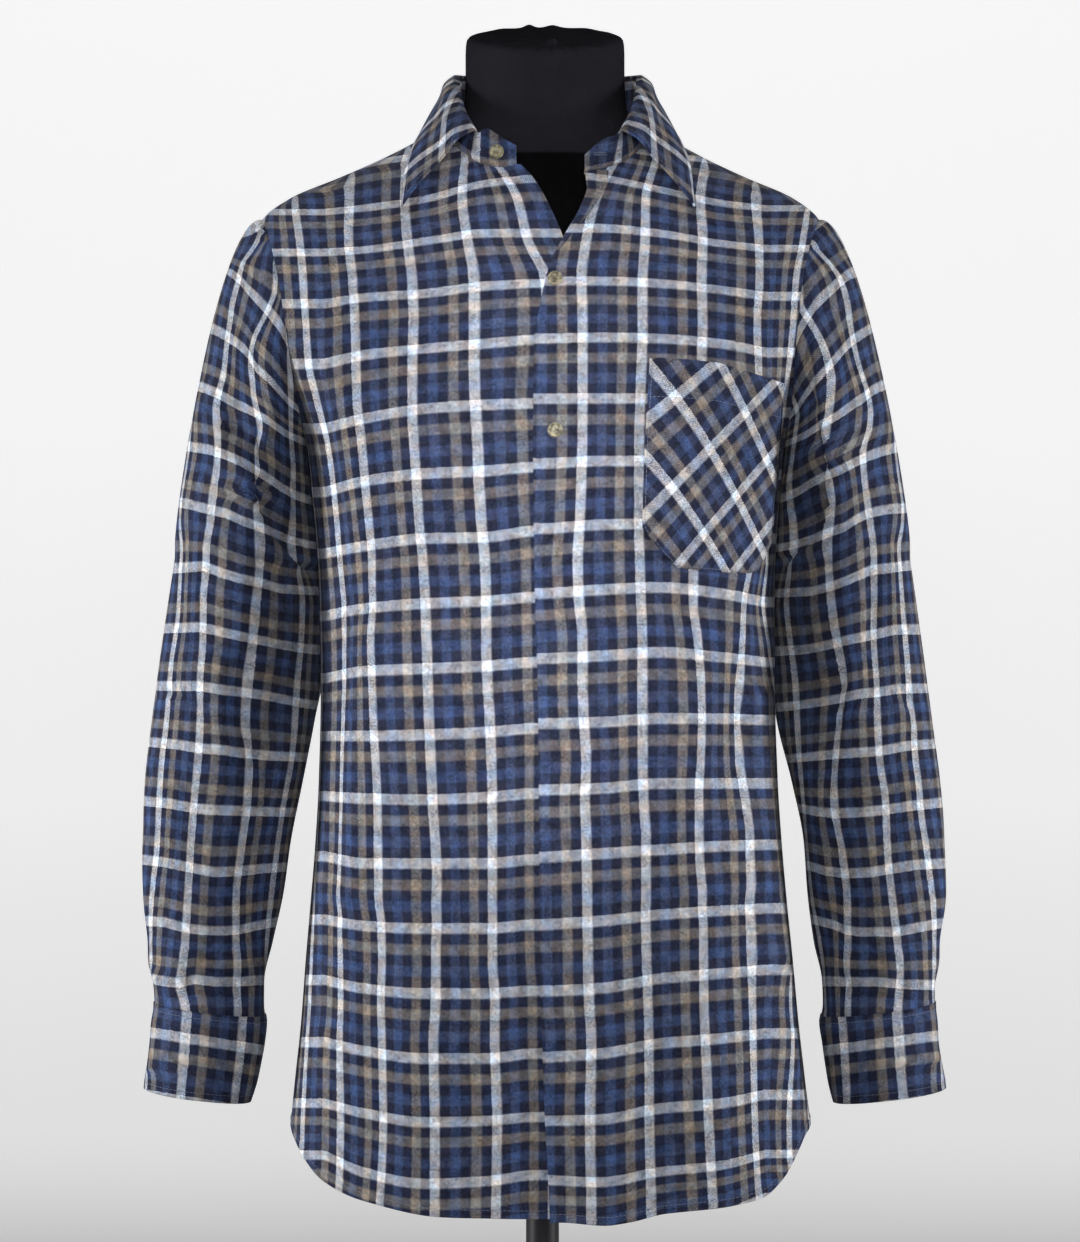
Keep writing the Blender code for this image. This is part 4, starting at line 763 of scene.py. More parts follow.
def back_grid(u, rows):
    """(angle, height) grid of the back; its columns run from the wearer's left side to the right."""

    def hem_line(u):
        a = 90 + 180 * u
        return np.stack([a, curve(HEM_BACK, 180 - np.abs(a - 180))], -1)

    def half_top(u):
        ridge = ridge_line(1 - np.clip(u / BACK_SPLIT, 0, 1), True)
        neck = neck_line(np.clip((u - BACK_SPLIT) / (1 - BACK_SPLIT), 0, 1), 90, 180, False, True)
        return np.where((u < BACK_SPLIT)[:, None], ridge, neck)

    def top_line(u):
        first = half_top(np.clip(2 * u, 0, 1))
        second = half_top(np.clip(2 - 2 * u, 0, 1))
        second[:, 0] = 360 - second[:, 0]
        return np.where((u < 0.5)[:, None], first, second)

    def other_side(v):
        line = side_line(v, True)
        line[:, 0] = 360 - line[:, 0]
        return line

    grid = patch(hem_line, top_line, lambda v: side_line(v, True), other_side, u, rows)
    half = np.where(grid[..., 0] > 180, 360 - grid[..., 0], grid[..., 0])
    turned = wide_to_body(half, grid[..., 1], True)
    grid[..., 0] = np.where(grid[..., 0] > 180, 360 - turned, turned)
    for column in np.flatnonzero(2 * np.minimum(u, 1 - u) < BACK_SPLIT):
        grid[rows > TOP_ROW, column, 0] = 90.0 if u[column] < 0.5 else 270.0
    return grid


def back_surface(grid):
    a = grid[..., 0]
    z = grid[..., 1]
    p = body_point(a, z)
    n = body_normal(a, z)
    return p + n * body_push(p[..., 0], z, back=True)[..., None], n


# Sleeves ------------------------------
def sleeve_ring(side, theta, z0, grow=0.0):
    """Ring of a sleeve, as if on +X, at a height: theta 0 outer, 90 front, 180 inner (degrees)."""
    t = np.radians(theta)
    table = rising(SLEEVE)
    first = 1 if side > 0 else 3
    tilt = curve(table, z0, 7)
    half = 0.5 * (curve(table, z0, first) - curve(table, z0, first + 1))
    z = z0 + tilt * half * np.cos(t)
    outer = curve(table, z0 + tilt * half, first) + grow
    inner = curve(table, z0 - tilt * half, first + 1) - grow
    c = np.cos(t)
    s = np.sin(t)
    mid = 0.5 * (outer + inner)
    x = mid + 0.5 * (outer - inner) * np.sign(c) * np.abs(c) ** 0.92
    y = curve(table, z0, 6) - (curve(table, z0, 5) + grow) * np.sign(s) * np.abs(s) ** 0.94
    y = y - curve(table, z0, 8) * smooth(-c)
    return np.stack([x, y, z], -1)


def folded(theta, z, side):
    """How far the folds move sleeve points out."""
    push = np.zeros(np.broadcast(theta, z).shape)
    for height, angle, depth, tall, wide, lean in SLEEVE_FOLDS[side]:
        turn = (theta - angle + 180) % 360 - 180
        push = push + depth * np.exp(-((z - height - lean * turn) / tall) ** 2 - (turn / wide) ** 2)
    line = FOLD_LEFT if side > 0 else FOLD_RIGHT
    over = z - curve(line, theta)
    ends = smooth((theta - line[0][0]) / 25) * smooth((line[-1][0] - theta) / 30)
    ridge = 0.0030 * np.exp(-((over + 0.012) / 0.014) ** 2)
    dip = -0.0125 * smooth((over + 0.003) / 0.010) * np.exp(-(np.maximum(over, 0) / 0.050) ** 2)
    return push + (ridge + dip) * ends


def armhole_loop(side, rows, gap):
    """Armhole points on +X where a sleeve starts: from the tip down the front and up the back."""
    v = rows[rows >= ARM_ROW - 1e-4]
    z = arm_height(v)
    front = body_point(armhole_angle(z), z)
    back = body_point(armhole_angle(z, True), z)
    loop = np.concatenate([front[::-1], back[1:-1]])
    loop[:, 0] += (side - 1) * curve(BODY, loop[:, 2], 6)
    low = smooth((1.330 - loop[:, 2]) / 0.10)
    under = smooth((1.205 - loop[:, 2]) / 0.012)
    shift = np.zeros_like(loop)
    shift[:, 0] = gap * (1.2 + 1.7 * low + 0.4 * under)
    shift[:, 2] = gap * 0.6 * under
    return loop + shift


def sleeve_grid(side, gap):
    """Sleeve points: the cap's rows from the armhole down, then the arm's, each a closed ring."""
    loop = armhole_loop(side, panel_rows(), gap)
    theta = np.linspace(0, 360, len(loop), endpoint=False)
    end = sleeve_ring(side, theta, SLEEVE_TOP)
    pull = np.asarray(CAP_PULL + CAP_PULL[:1], float)
    k = theta / 90.0
    i = np.minimum(k.astype(int), 3)
    f = smooth(k - i)[:, None]
    start_pull = pull[i] * (1 - f) + pull[i + 1] * f
    down = sleeve_ring(side, theta, SLEEVE_TOP - 0.01) - end
    end_pull = down / 0.01 * np.linalg.norm(end - loop, axis=1)[:, None] * CAP_END
    t = np.linspace(0, 1, CAP_ROWS + 1)[:, None, None] ** 1.15
    grid = (2 * t ** 3 - 3 * t ** 2 + 1) * loop + (t ** 3 - 2 * t ** 2 + t) * start_pull
    grid = grid + (3 * t ** 2 - 2 * t ** 3) * end + (t ** 3 - t ** 2) * end_pull
    levels = np.linspace(SLEEVE_TOP, CUFF_SEAM, ARM_ROWS + 1)[1:]
    lower = [sleeve_ring(side, theta, z) for z in levels]
    p = np.concatenate([grid, np.stack(lower)])
    level = np.concatenate([np.full(CAP_ROWS + 1, 0.0), np.linspace(0, 1, ARM_ROWS + 1)[1:]])
    push = folded(theta[None, :], p[..., 2], side)
    away = smooth(np.linspace(0, 1, CAP_ROWS + 1) / 0.6)
    hold = np.concatenate([away, np.ones(ARM_ROWS)])[:, None]
    hold = hold * smooth((1 - level[:, None]) / 0.06)
    n_out = loop_normals(p)
    inner = smooth((np.abs(theta - 180) - 20) / 40.0)[None, :]
    x, height = seen(p)
    fine = creased(x, height, SLEEVE_CREASES[side]) * smooth(np.sin(np.radians(theta)) * 4)[None, :]
    fine = fine + creased(x, height - 26, SLEEVE_CREASES[-side]) * smooth(-np.sin(np.radians(theta)) * 4)
    p = p + n_out * ((push + fine) * hold * inner)[..., None]
    return p


def loop_normals(p):
    """Outward normals of a tube grid whose columns close on themselves."""
    across = np.roll(p, -1, 1) - np.roll(p, 1, 1)
    along = np.gradient(p, axis=0)
    return unit(np.cross(across, along))


def sheet_normals(p):
    return unit(np.cross(np.gradient(p, axis=1), np.gradient(p, axis=0)))


def mirrored(p, side):
    q = p.copy()
    q[..., 0] *= side
    return q


# Collar -------------------------------
def collar_line(t, first):
    """Point of the collar table at t from -1 (wearer's right end) to 1 (left end)."""
    k = np.abs(t) * (len(COLLAR) - 1)
    pts = [curve(COLLAR_KEYED, k, first + 1 + j) for j in range(3)]
    sign = np.where(t < 0, -1.0, 1.0)
    return np.stack([pts[0] * sign + COLLAR_X, pts[1], pts[2]], -1)


def inward_at(p):
    """Level unit vectors from points of the collar towards its middle."""
    return unit((np.array([COLLAR_X, 0.0, 0.0]) - p) * np.array([1.0, 1.0, 0.0]))


def leaf_surface():
    """Grid of the turned-down collar: row 0 is inside the band's top, the last row is the free edge."""
    t = np.linspace(-1, 1, LEAF_COLS + 1)
    fold = collar_line(t, 0)
    edge = collar_line(t, 3)
    swell = curve(COLLAR_KEYED, np.abs(t) * (len(COLLAR) - 1), 7)
    out = edge - fold
    out[:, 2] = 0
    out = unit(out)
    s = np.linspace(0, 1, LEAF_ROWS + 1)[:, None, None] ** 1.2
    grid = fold + (edge - fold) * s
    bulge = (4 * s * (1 - s) + 0.9 * np.exp(-((s - 0.12) / 0.16) ** 2)) * swell[:, None]
    lift = 0.25 * np.exp(-((s - 0.15) / 0.2) ** 2) * swell[:, None]
    grid = grid + out * bulge
    grid[..., 2] += lift[..., 0]
    grid[..., 1] -= (LEAF_STAND * smooth((np.abs(t) - 0.62) / 0.3)[:, None] * s ** 1.4)[..., 0]
    lip = grid[0] + inward_at(fold) * 0.0040
    lip[:, 2] -= 0.0012
    return np.concatenate([lip[None], grid])


def band_surface(cols=36, rows=3):
    """Grid of the collar band from the neckline up, with rounded front ends."""
    t = np.linspace(-1, 1, cols + 1)
    first = np.where(t < 0, CORNER_RIGHT, CORNER_LEFT)
    size = 180 - (180 - first) * np.abs(t)
    right = neck_point(size) * np.array([-1.0, 1.0, 1.0])
    right[:, 0] += 2 * curve(BODY, right[:, 2], 6)
    low = np.where((t < 0)[:, None], right, neck_point(size, True))
    inward = inward_at(low)
    low = low + inward * 0.0006
    low[:, 2] += 0.0029
    station = np.interp(size, COLLAR_ANGLES[::-1], np.arange(len(COLLAR))[::-1])
    under = collar_line(np.sign(t + 1e-9) * station / (len(COLLAR) - 1), 0)
    under = under + inward_at(under) * 0.0026
    under[:, 2] -= 0.0038
    past = smooth((COLLAR_ANGLES[-1] + 3 - size) / 8)[:, None]
    end = np.clip((size - first) / 17.0, 0, 1)
    tall = BAND_END * (0.42 + 0.58 * np.sin(end * math.pi / 2))[:, None]
    front_top = low + np.array([0.0, 0.16, 0.98]) * tall
    top = under * (1 - past) + front_top * past
    s = np.linspace(0, 1, rows + 1)[:, None, None]
    return low + (top - low) * s


def pocket_surface():
    """Pocket points: the outline is filled between its left and right sides, then laid on the front."""
    line = np.asarray(POCKET)
    top = line[:5]
    right = line[4:8][::-1]
    bottom = line[7:11][::-1]
    left = np.concatenate([line[:1], line[:9:-1]])[::-1]

    def along(points, t):
        step = np.concatenate([[0], np.cumsum(np.linalg.norm(np.diff(points, axis=0), axis=1))])
        s = t * step[-1]
        return np.stack([np.interp(s, step, points[:, k]) for k in range(2)], -1)

    u = np.linspace(0, 1, POCKET_COLS + 1)
    v = np.linspace(0, 1, POCKET_ROWS + 1)
    xz = patch(lambda s: along(bottom, s), lambda s: along(top, s), lambda s: along(left, s),
               lambda s: along(right, s), u, v)
    return on_front(xz[..., 0], xz[..., 1], POCKET_LIFT)


def facing_surface():
    """Strip of the left front turned back along its open edge: rows go down, columns away."""
    z = np.linspace(FACING[0][0], FACING[-1][0], FACING_ROWS + 1)
    edge = curve(EDGE_LEFT, z)
    wide = curve(tuple(sorted(FACING)), z)
    t = np.linspace(0, 1, FACING_COLS + 1)
    x = edge[:, None] - 0.0006 + (wide[:, None] + 0.0006) * t
    level = np.broadcast_to(z[:, None], x.shape)
    roll = smooth(t / 0.12) * FACING_LIFT + 0.0006 * np.sin(3.0 * t + 22 * (level - z[0]))
    return on_front(x, level, lap_lift(x, level, 1) + roll)


def on_front(x, z, lift):
    """Points and normals of the front at sideways places and heights, moved out."""
    angle = body_angle(x, z)
    p = body_point(angle, z)
    n = body_normal(angle, z)
    return p + n * (lift + body_push(p[..., 0], z))[..., None], n


# Body plaid ---------------------------
def seen(p):
    """Sideways and upward places of points, in millimetres, as they line up from straight in front."""
    k = EYE / (EYE + p[..., 1])
    return p[..., 0] * k * 1000, (LEVEL + (p[..., 2] - LEVEL) * k) * 1000


def lookup(table, x, y, x_range, y_range):
    """Reads a table of evenly spaced rows (y) and columns (x) between its nodes."""
    rows, cols = table.shape
    i = np.clip((y - y_range[0]) / (y_range[1] - y_range[0]) * (rows - 1), 0, rows - 1.0001)
    j = np.clip((x - x_range[0]) / (x_range[1] - x_range[0]) * (cols - 1), 0, cols - 1.0001)
    a = i.astype(int)
    b = j.astype(int)
    f = i - a
    g = j - b
    low = table[a, b] * (1 - g) + table[a, b + 1] * g
    return low * (1 - f) + (table[a + 1, b] * (1 - g) + table[a + 1, b + 1] * g) * f


def ring_tables():
    """Girth and slope lengths over the body, and the girth that stands behind each place seen."""
    z = np.linspace(*BODY_SPAN, 184)
    a = np.linspace(-180, 180, 721)
    p = body_point(a[None, :], z[:, None])
    step = np.linalg.norm(np.diff(p, axis=1), axis=2)
    girth = np.concatenate([np.zeros((len(z), 1)), np.cumsum(step, 1)], 1)
    girth = (girth - girth[:, 360:361]) * 1000
    rise = np.linalg.norm(np.diff(p, axis=0), axis=2)
    climb = np.concatenate([np.zeros((1, len(a))), np.cumsum(rise, 0)], 0) * 1000
    across = seen(p)[0]
    behind = np.zeros((len(z), 181))
    reach = np.zeros((len(z), 2))
    for i in range(len(z)):
        first = 180 + int(np.argmin(across[i, 180:541]))
        last = 180 + int(np.argmax(across[i, 180:541]))
        reach[i] = across[i, first], across[i, last]
        turn = np.sin(np.radians(np.arange(-90, 91)))
        place = np.where(turn < 0, -turn * reach[i, 0], turn * reach[i, 1])
        behind[i] = np.interp(place, across[i, first:last + 1], girth[i, first:last + 1])
    return girth, climb, behind, reach


GIRTH, CLIMB, BEHIND, REACH = ring_tables()


def girth_at(angle, z):
    return lookup(GIRTH, angle, z, (-180, 180), BODY_SPAN)


def climb_at(angle, z):
    return lookup(CLIMB, angle, z, (-180, 180), BODY_SPAN)


def girth_behind(x, z):
    """Girth at a place seen from straight in front at a height."""
    low = lookup(REACH, np.zeros_like(z), z, (0, 1), BODY_SPAN)
    high = lookup(REACH, np.ones_like(z), z, (0, 1), BODY_SPAN)
    turn = np.degrees(np.arcsin(np.clip(np.where(x < 0, -x / low, x / high), -1, 1)))
    return lookup(BEHIND, turn, z, (-90, 90), BODY_SPAN)


def count(marks, value, first, repeat, before=None):
    """Repeats counted along rising marks (last axis), each mark one repeat after the one before it."""
    total = np.full(value.shape, float(first))
    for k in range(marks.shape[-1] - 1):
        a = marks[..., k]
        total += np.clip((value - a) / np.maximum(marks[..., k + 1] - a, 1.0), 0, 1)
    total -= np.maximum(marks[..., 0] - value, 0) / (before or repeat)
    return total + np.maximum(value - marks[..., -1], 0) / repeat


def chart(rows, at):
    """All the value columns of a table at the given places, as a last axis."""
    return np.stack([curve(rows, at, k) for k in range(1, len(rows[0]))], -1)


def front_plaid(side, angle, z, p):
    """Repeats across and down a front."""
    x, height = seen(p)
    columns = rising(COLUMNS_LEFT if side > 0 else COLUMNS_RIGHT)
    marks = chart(columns, height)
    if side < 0:
        marks = marks[..., ::-1]
    u = count(girth_behind(marks, z[..., None] + 0 * marks), girth_at(angle, z), 0 if side > 0 else -3,
              WARP_MM)
    levels = ROWS_LEFT if side > 0 else ROWS_RIGHT
    places = ROWS_LEFT_X if side > 0 else ROWS_RIGHT_X
    flipped = tuple((place,) + tuple(-row[i] for row in levels) for i, place in enumerate(places))
    v = count(chart(flipped, x), -height, -2, WEFT_MM, 22.0)
    return np.stack([u, v], -1)


def side_count(side):
    """Repeats down the side seam at heights from the hem to the armhole."""
    z = np.linspace(0.56, ARMHOLE_LOW, 80)
    p = body_point(90.0 * side, z)
    return z, front_plaid(side, np.full(80, 90.0 * side), z, p)[:, 1]


def back_plaid(angle, z):
    """Repeats across and down the back: angles run from 90 to 270 degrees."""
    turn = np.where(angle > 180, angle - 360, angle)
    half = girth_at(np.full_like(z, 180.0), z)
    girth = girth_at(turn, z)
    u = np.where(turn > 0, girth - half, girth + half) / WARP_MM
    low = np.minimum(z, ARMHOLE_LOW)
    right = np.interp(low, *side_count(-1))
    left = np.interp(low, *side_count(1))
    w = smooth((angle - 90) / 180)
    v = left * (1 - w) + right * w
    above = climb_at(turn, z) - climb_at(turn, low)
    return np.stack([u, v - above / WEFT_MM], -1)


def sections(p, heights):
    """Level cuts of a sleeve or cuff: distance from the outer line and place seen, by column."""
    middle = p.shape[1] // 2
    x = np.zeros((len(heights), p.shape[1]))
    y = np.zeros_like(x)
    for j in range(p.shape[1]):
        drop = np.minimum.accumulate(p[:, j, 2])[::-1]
        x[:, j] = np.interp(heights, drop, p[::-1, j, 0])
        y[:, j] = np.interp(heights, drop, p[::-1, j, 1])
    step = np.hypot(np.diff(x, axis=1), np.diff(y, axis=1)) * 1000
    s = np.concatenate([np.zeros((len(heights), 1)), np.cumsum(step, 1)], 1)
    s = s[:, middle:middle + 1] - s
    return s, x * EYE / (EYE + y) * 1000


def round_plaid(p, stripes, outer, gap):
    """Repeats round a sleeve or cuff grid whose columns run from the inner line, front first."""
    heights = np.linspace(p[..., 2].min(), p[..., 2].max(), 90)
    s, across = sections(p, heights)
    middle = p.shape[1] // 2
    places = chart(rising(stripes), (LEVEL + (heights - LEVEL) * NEAR) * 1000)
    marks = np.zeros((len(heights), places.shape[1] + 1))
    low = outer[0][0] / 1000
    for i, z in enumerate(heights):
        seen_x = across[i, middle::-1]
        row = s[i, middle::-1]
        seen_x = np.minimum.accumulate(seen_x) - 1e-4 * np.arange(middle + 1)
        marks[i, 1:] = np.interp(-places[i], -seen_x, row)
        inside = np.minimum(places[i] - seen_x[-1], 0)
        marks[i, 1:] -= inside
        hidden = marks[i, 1] - gap
        shown = np.interp(-curve(rising(outer), z * 1000), -seen_x, row)
        marks[i, 0] = shown + (hidden - shown) * smooth((z - low) / 0.04)
    own = np.stack([np.interp(p[:, j, 2], heights, s[:, j]) for j in range(p.shape[1])], 1)
    at = np.stack([np.interp(p[..., 2], heights, marks[:, k]) for k in range(marks.shape[1])], -1)
    return -count(at, own, 0, WARP_MM)


def sleeve_plaid(side, p):
    """Repeats round and down a sleeve grid whose columns run from the inner line round to it."""
    u = round_plaid(p, STRIPES_LEFT if side > 0 else STRIPES_RIGHT,
                    OUTER_STRIPE_LEFT if side > 0 else OUTER_STRIPE_RIGHT, WARP_MM)
    x, height = seen(p)
    levels = []
    for row in SLEEVE_ROWS_LEFT if side > 0 else SLEEVE_ROWS_RIGHT:
        line = np.asarray(sorted(row), float)
        flat = np.interp(x, line[:, 0], line[:, 1])
        start = (line[1, 1] - line[0, 1]) / (line[1, 0] - line[0, 0])
        end = (line[-1, 1] - line[-2, 1]) / (line[-1, 0] - line[-2, 0])
        flat = flat + np.minimum(x - line[0, 0], 0) * start * 0.6
        flat = flat + np.maximum(x - line[-1, 0], 0) * end * 0.6
        levels.append(-flat)
    levels = np.maximum.accumulate(np.stack(levels, -1) + 1e-3 * np.arange(len(levels)), -1)
    return np.stack([u, -count(levels, -height, 0, WEFT_MM)], -1)


# Meshes -------------------------------
def grid_faces(rows, wide, closed=False):
    """Faces between rows of points; a closed grid's last column joins its first."""
    faces = []
    for i in range(rows - 1):
        for j in range(wide if closed else wide - 1):
            k = (j + 1) % wide
            faces.append((i * wide + j, i * wide + k, (i + 1) * wide + k, (i + 1) * wide + j))
    return faces


def plain_piece(name, verts, faces):
    mesh = bpy.data.meshes.new(name)
    mesh.from_pydata([tuple(map(float, v)) for v in verts], [], faces)
    mesh.shade_smooth()
    mesh.update()
    ob = bpy.data.objects.new(name, mesh)
    bpy.context.scene.collection.objects.link(ob)
    return ob


def cloth_piece(name, p, uv, wall, closed=False):
    """Thin cloth on a grid of middle points; a closed grid's last column repeats its first."""
    rows, cols = p.shape[:2]
    wide = cols - 1 if closed else cols
    ob = plain_piece(name, p[:, :wide].reshape(-1, 3), grid_faces(rows, wide, closed))
    flat = uv.reshape(-1, 2)[np.asarray(grid_faces(rows, cols)).ravel()]
    layer = ob.data.uv_layers.new(name="fabric")
    layer.data.foreach_set("uv", flat.astype(np.float32).ravel())
    shell = ob.modifiers.new("wall", "SOLIDIFY")
    shell.thickness = wall
    shell.offset = 0.0
    return ob


def dress(ob, mat, slot, *nodes):
    """Gives a piece its finish and its body, and hides the solids that it stands for; its slot is not
    used.
    """
    ob.data.materials.append(mat)
    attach(ob, "root")
    if nodes:
        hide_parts(*nodes)
    return ob


def lathe(rings):
    """Vertices and faces of stacked closed rings with a point at each end."""
    wide = len(rings[0])
    verts = np.concatenate(rings).tolist()
    faces = grid_faces(len(rings), wide, True)
    verts += [np.mean(rings[0], 0).tolist(), np.mean(rings[-1], 0).tolist()]
    top = (len(rings) - 1) * wide
    for j in range(wide):
        k = (j + 1) % wide
        faces.append((k, j, len(verts) - 2))
        faces.append((top + j, top + k, len(verts) - 1))
    return verts, faces


def stitches(name, lines, length=0.0026, gap=0.0007, radius=0.00019):
    """Row of sewn stitches along each (points, outward normals) line."""
    verts = []
    faces = []
    for points, normals in lines:
        step = np.linalg.norm(np.diff(points, axis=0), axis=1)
        s = np.concatenate([[0], np.cumsum(step)])
        number = max(int(s[-1] / (length + gap)), 1)
        at = (np.arange(number) + 0.5) * s[-1] / number
        for centre in at:
            ends = [centre - length / 2, centre + length / 2]
            a, b = (np.array([np.interp(e, s, points[:, k]) for k in range(3)]) for e in ends)
            n = unit(np.array([np.interp(centre, s, normals[:, k]) for k in range(3)]))
            t = unit(b - a)
            w = np.cross(t, n)
            base = len(verts)
            for f, r, sink in STITCH_RINGS:
                for c in range(5):
                    turn = math.tau * c / 5
                    arm = (math.cos(turn) * n + math.sin(turn) * w) * r * radius
                    verts.append(a + (b - a) * f + arm - n * sink * radius)
            caps = [(4, 3, 2, 1, 0), (15, 16, 17, 18, 19)]
            faces += [tuple(base + c for c in face) for face in grid_faces(4, 5, True) + caps]
    return plain_piece(name, verts, faces)


# Shaders ------------------------------
class Value:
    """A number that runs over the surface; arithmetic on it adds Math nodes."""

    def __init__(self, maker, socket):
        self.maker = maker
        self.socket = socket

    def math(self, operation, *others):
        settings = {"operation": operation}
        values = {i: v for i, v in enumerate((self,) + others)}
        return self.maker.add("ShaderNodeMath", settings, values)

    def __add__(self, other):
        return self.math("ADD", other)

    def __sub__(self, other):
        return self.math("SUBTRACT", other)

    def __mul__(self, other):
        return self.math("MULTIPLY", other)

    def __truediv__(self, other):
        return self.math("DIVIDE", other)

    def __rsub__(self, other):
        return self.maker.add("ShaderNodeMath", {"operation": "SUBTRACT"}, {0: other, 1: self})

    __radd__ = __add__
    __rmul__ = __mul__

    def __lt__(self, other):
        return self.math("LESS_THAN", other)

    def __mod__(self, other):
        return self.math("FLOORED_MODULO", other)

    def floor(self):
        return self.math("FLOOR")

    def spread(self, low, high):
        """0 at low, 1 at high, eased between."""
        return self.maker.add("ShaderNodeMapRange", {"interpolation_type": "SMOOTHSTEP"},
                              {"Value": self, "From Min": low, "From Max": high})


class Maker:
    """Builds one material's nodes."""

    def __init__(self, name):
        self.material = bpy.data.materials.new(name)
        self.material.use_nodes = True
        self.tree = self.material.node_tree
        self.shader = self.tree.nodes["Principled BSDF"]

    def add(self, kind, settings, values, output=0):
        """Adds a node: its settings first, then the values or links of its sockets."""
        node = self.tree.nodes.new(kind)
        for key, value in settings.items():
            if key == "stops":
                self.set_stops(node.color_ramp, value)
            else:
                setattr(node, key, value)
        for key, value in values.items():
            self.put(node.inputs[key], value)
        return Value(self, node.outputs[output])

    def set_stops(self, ramp, stops):
        while len(ramp.elements) < len(stops):
            ramp.elements.new(1.0)
        for element, (place, colour) in zip(ramp.elements, stops):
            element.position = place
            element.color = (*colour, 1.0)

    def put(self, socket, value):
        if isinstance(value, Value):
            self.tree.links.new(value.socket, socket)
        elif socket.type == "RGBA" and len(value) == 3:
            socket.default_value = (*value, 1.0)
        else:
            socket.default_value = value

    def finish(self, **values):
        """Sets the shader's sockets: names are written with _ for a space."""
        for key, value in values.items():
            self.put(self.shader.inputs[key.replace("_", " ")], value)
        return self.material

    def place(self):
        return self.add("ShaderNodeTexCoord", {}, {}, "Object")

    def part(self, vector, axis):
        """One part of a vector: 0, 1 or 2 for x, y or z."""
        return self.add("ShaderNodeSeparateXYZ", {}, {0: vector}, axis)

    def noise(self, vector, scale, detail=2.0, rough=0.5):
        return self.add("ShaderNodeTexNoise", {}, {"Vector": vector, "Scale": scale, "Detail": detail,
                                                   "Roughness": rough})

    def blend(self, factor, a, b):
        """Mixes two colours."""
        node = self.tree.nodes.new("ShaderNodeMix")
        node.data_type = "RGBA"
        self.put(node.inputs["Factor"], factor)
        self.put(node.inputs[6], a)
        self.put(node.inputs[7], b)
        return Value(self, node.outputs[2])

    def bump(self, height, strength, distance):
        return self.add("ShaderNodeBump", {}, {"Height": height, "Strength": strength,
                                               "Distance": distance}, "Normal")


def band_stops(order):
    """Colour stops of six equal bands, each edge a little soft."""
    stops = []
    for i, colour in enumerate(order):
        stops.append((i / 6 + BAND_SOFT, colour))
        stops.append(((i + 1) / 6 - BAND_SOFT, colour))
    return stops


def plaid_material(cloth):
    """Yarn-dyed twill with a brushed nap, from repeats across (warp) and down (weft)."""
    make = Maker("plaid_flannel")
    yarns = (cloth.white, cloth.navy, cloth.blue, cloth.tan)
    white, navy, blue, tan = (tuple(c ** YARN_BLEND for c in yarn) for yarn in yarns)
    fabric = make.add("ShaderNodeUVMap", {"uv_map": "fabric"}, {})
    u = make.part(fabric, 0)
    v = make.part(fabric, 1)
    nap = make.noise(fabric, 42.0, 4.0, 0.75)
    wander = (make.noise(fabric, 9.0, 1.0) - 0.5) * 0.02 + (nap - 0.5) * 0.05
    across = (u + wander + 1 / 12) % 1.0
    down = (v + wander + 1 / 12) % 1.0
    warp = make.add("ShaderNodeValToRGB", {"stops": band_stops((white, navy, blue, navy, tan, navy))},
                    {0: across})
    weft = make.add("ShaderNodeValToRGB", {"stops": band_stops((white, navy, tan, navy, blue, navy))},
                    {0: down})
    ends = u * cloth.ends
    picks = v * cloth.picks
    twill = ((ends.floor() + picks.floor()) % 4.0) < 1.5
    share = twill * 0.24 + (nap - 0.5) * 1.5 + 0.40
    mixed = make.blend(share, weft, warp)
    colour = make.add("ShaderNodeGamma", {}, {"Color": mixed, "Gamma": 1 / YARN_BLEND})
    cloudy = make.noise(fabric, 5.5, 3.0)
    fleck = make.noise(fabric, 24.0, 2.0, 0.6)
    shade = (nap - 0.5) * 1.7 + (cloudy - 0.5) * 1.6 + (fleck - 0.5) * 1.6 + 1.0
    tinted = make.blend(make.noise(fabric, 4.0, 2.0).spread(0.35, 0.65), WARM_TINT, COOL_TINT)
    dyed = make.add("ShaderNodeVectorMath", {"operation": "MULTIPLY"}, {0: colour, 1: tinted})
    tone = make.add("ShaderNodeVectorMath", {"operation": "SCALE"}, {0: dyed, "Scale": shade})
    height = twill * 0.35 + nap * 0.9
    return make.finish(Base_Color=tone, Roughness=0.95, Specular_IOR_Level=0.06, Sheen_Weight=0.03,
                       Sheen_Roughness=0.55, Normal=make.bump(height, 0.35, 0.0004))


def mottled_horn(buttons):
    make = Maker("mottled_horn")
    spot = make.place()
    cloud = make.noise(spot, 330.0, 3.0, 0.6)
    colour = make.add("ShaderNodeValToRGB", {"stops": ((0.34, tuple(buttons.dark)),
                                                       (0.52, tuple(buttons.olive)),
                                                       (0.70, tuple(buttons.cream)))}, {0: cloud})
    return make.finish(Base_Color=colour, Roughness=0.42, Coat_Weight=0.1, Coat_Roughness=0.3,
                       Normal=make.bump(cloud, 0.08, 0.0002))


def thread_material(cloth):
    make = Maker("sewing_thread")
    twist = make.noise(make.place(), 2600.0, 1.0)
    dark, light = tuple(cloth.thread), tuple(c * 1.5 for c in cloth.thread)
    return make.finish(Base_Color=make.blend(twist, dark, light), Roughness=0.6,
                       Normal=make.bump(twist, 0.4, 0.0002))


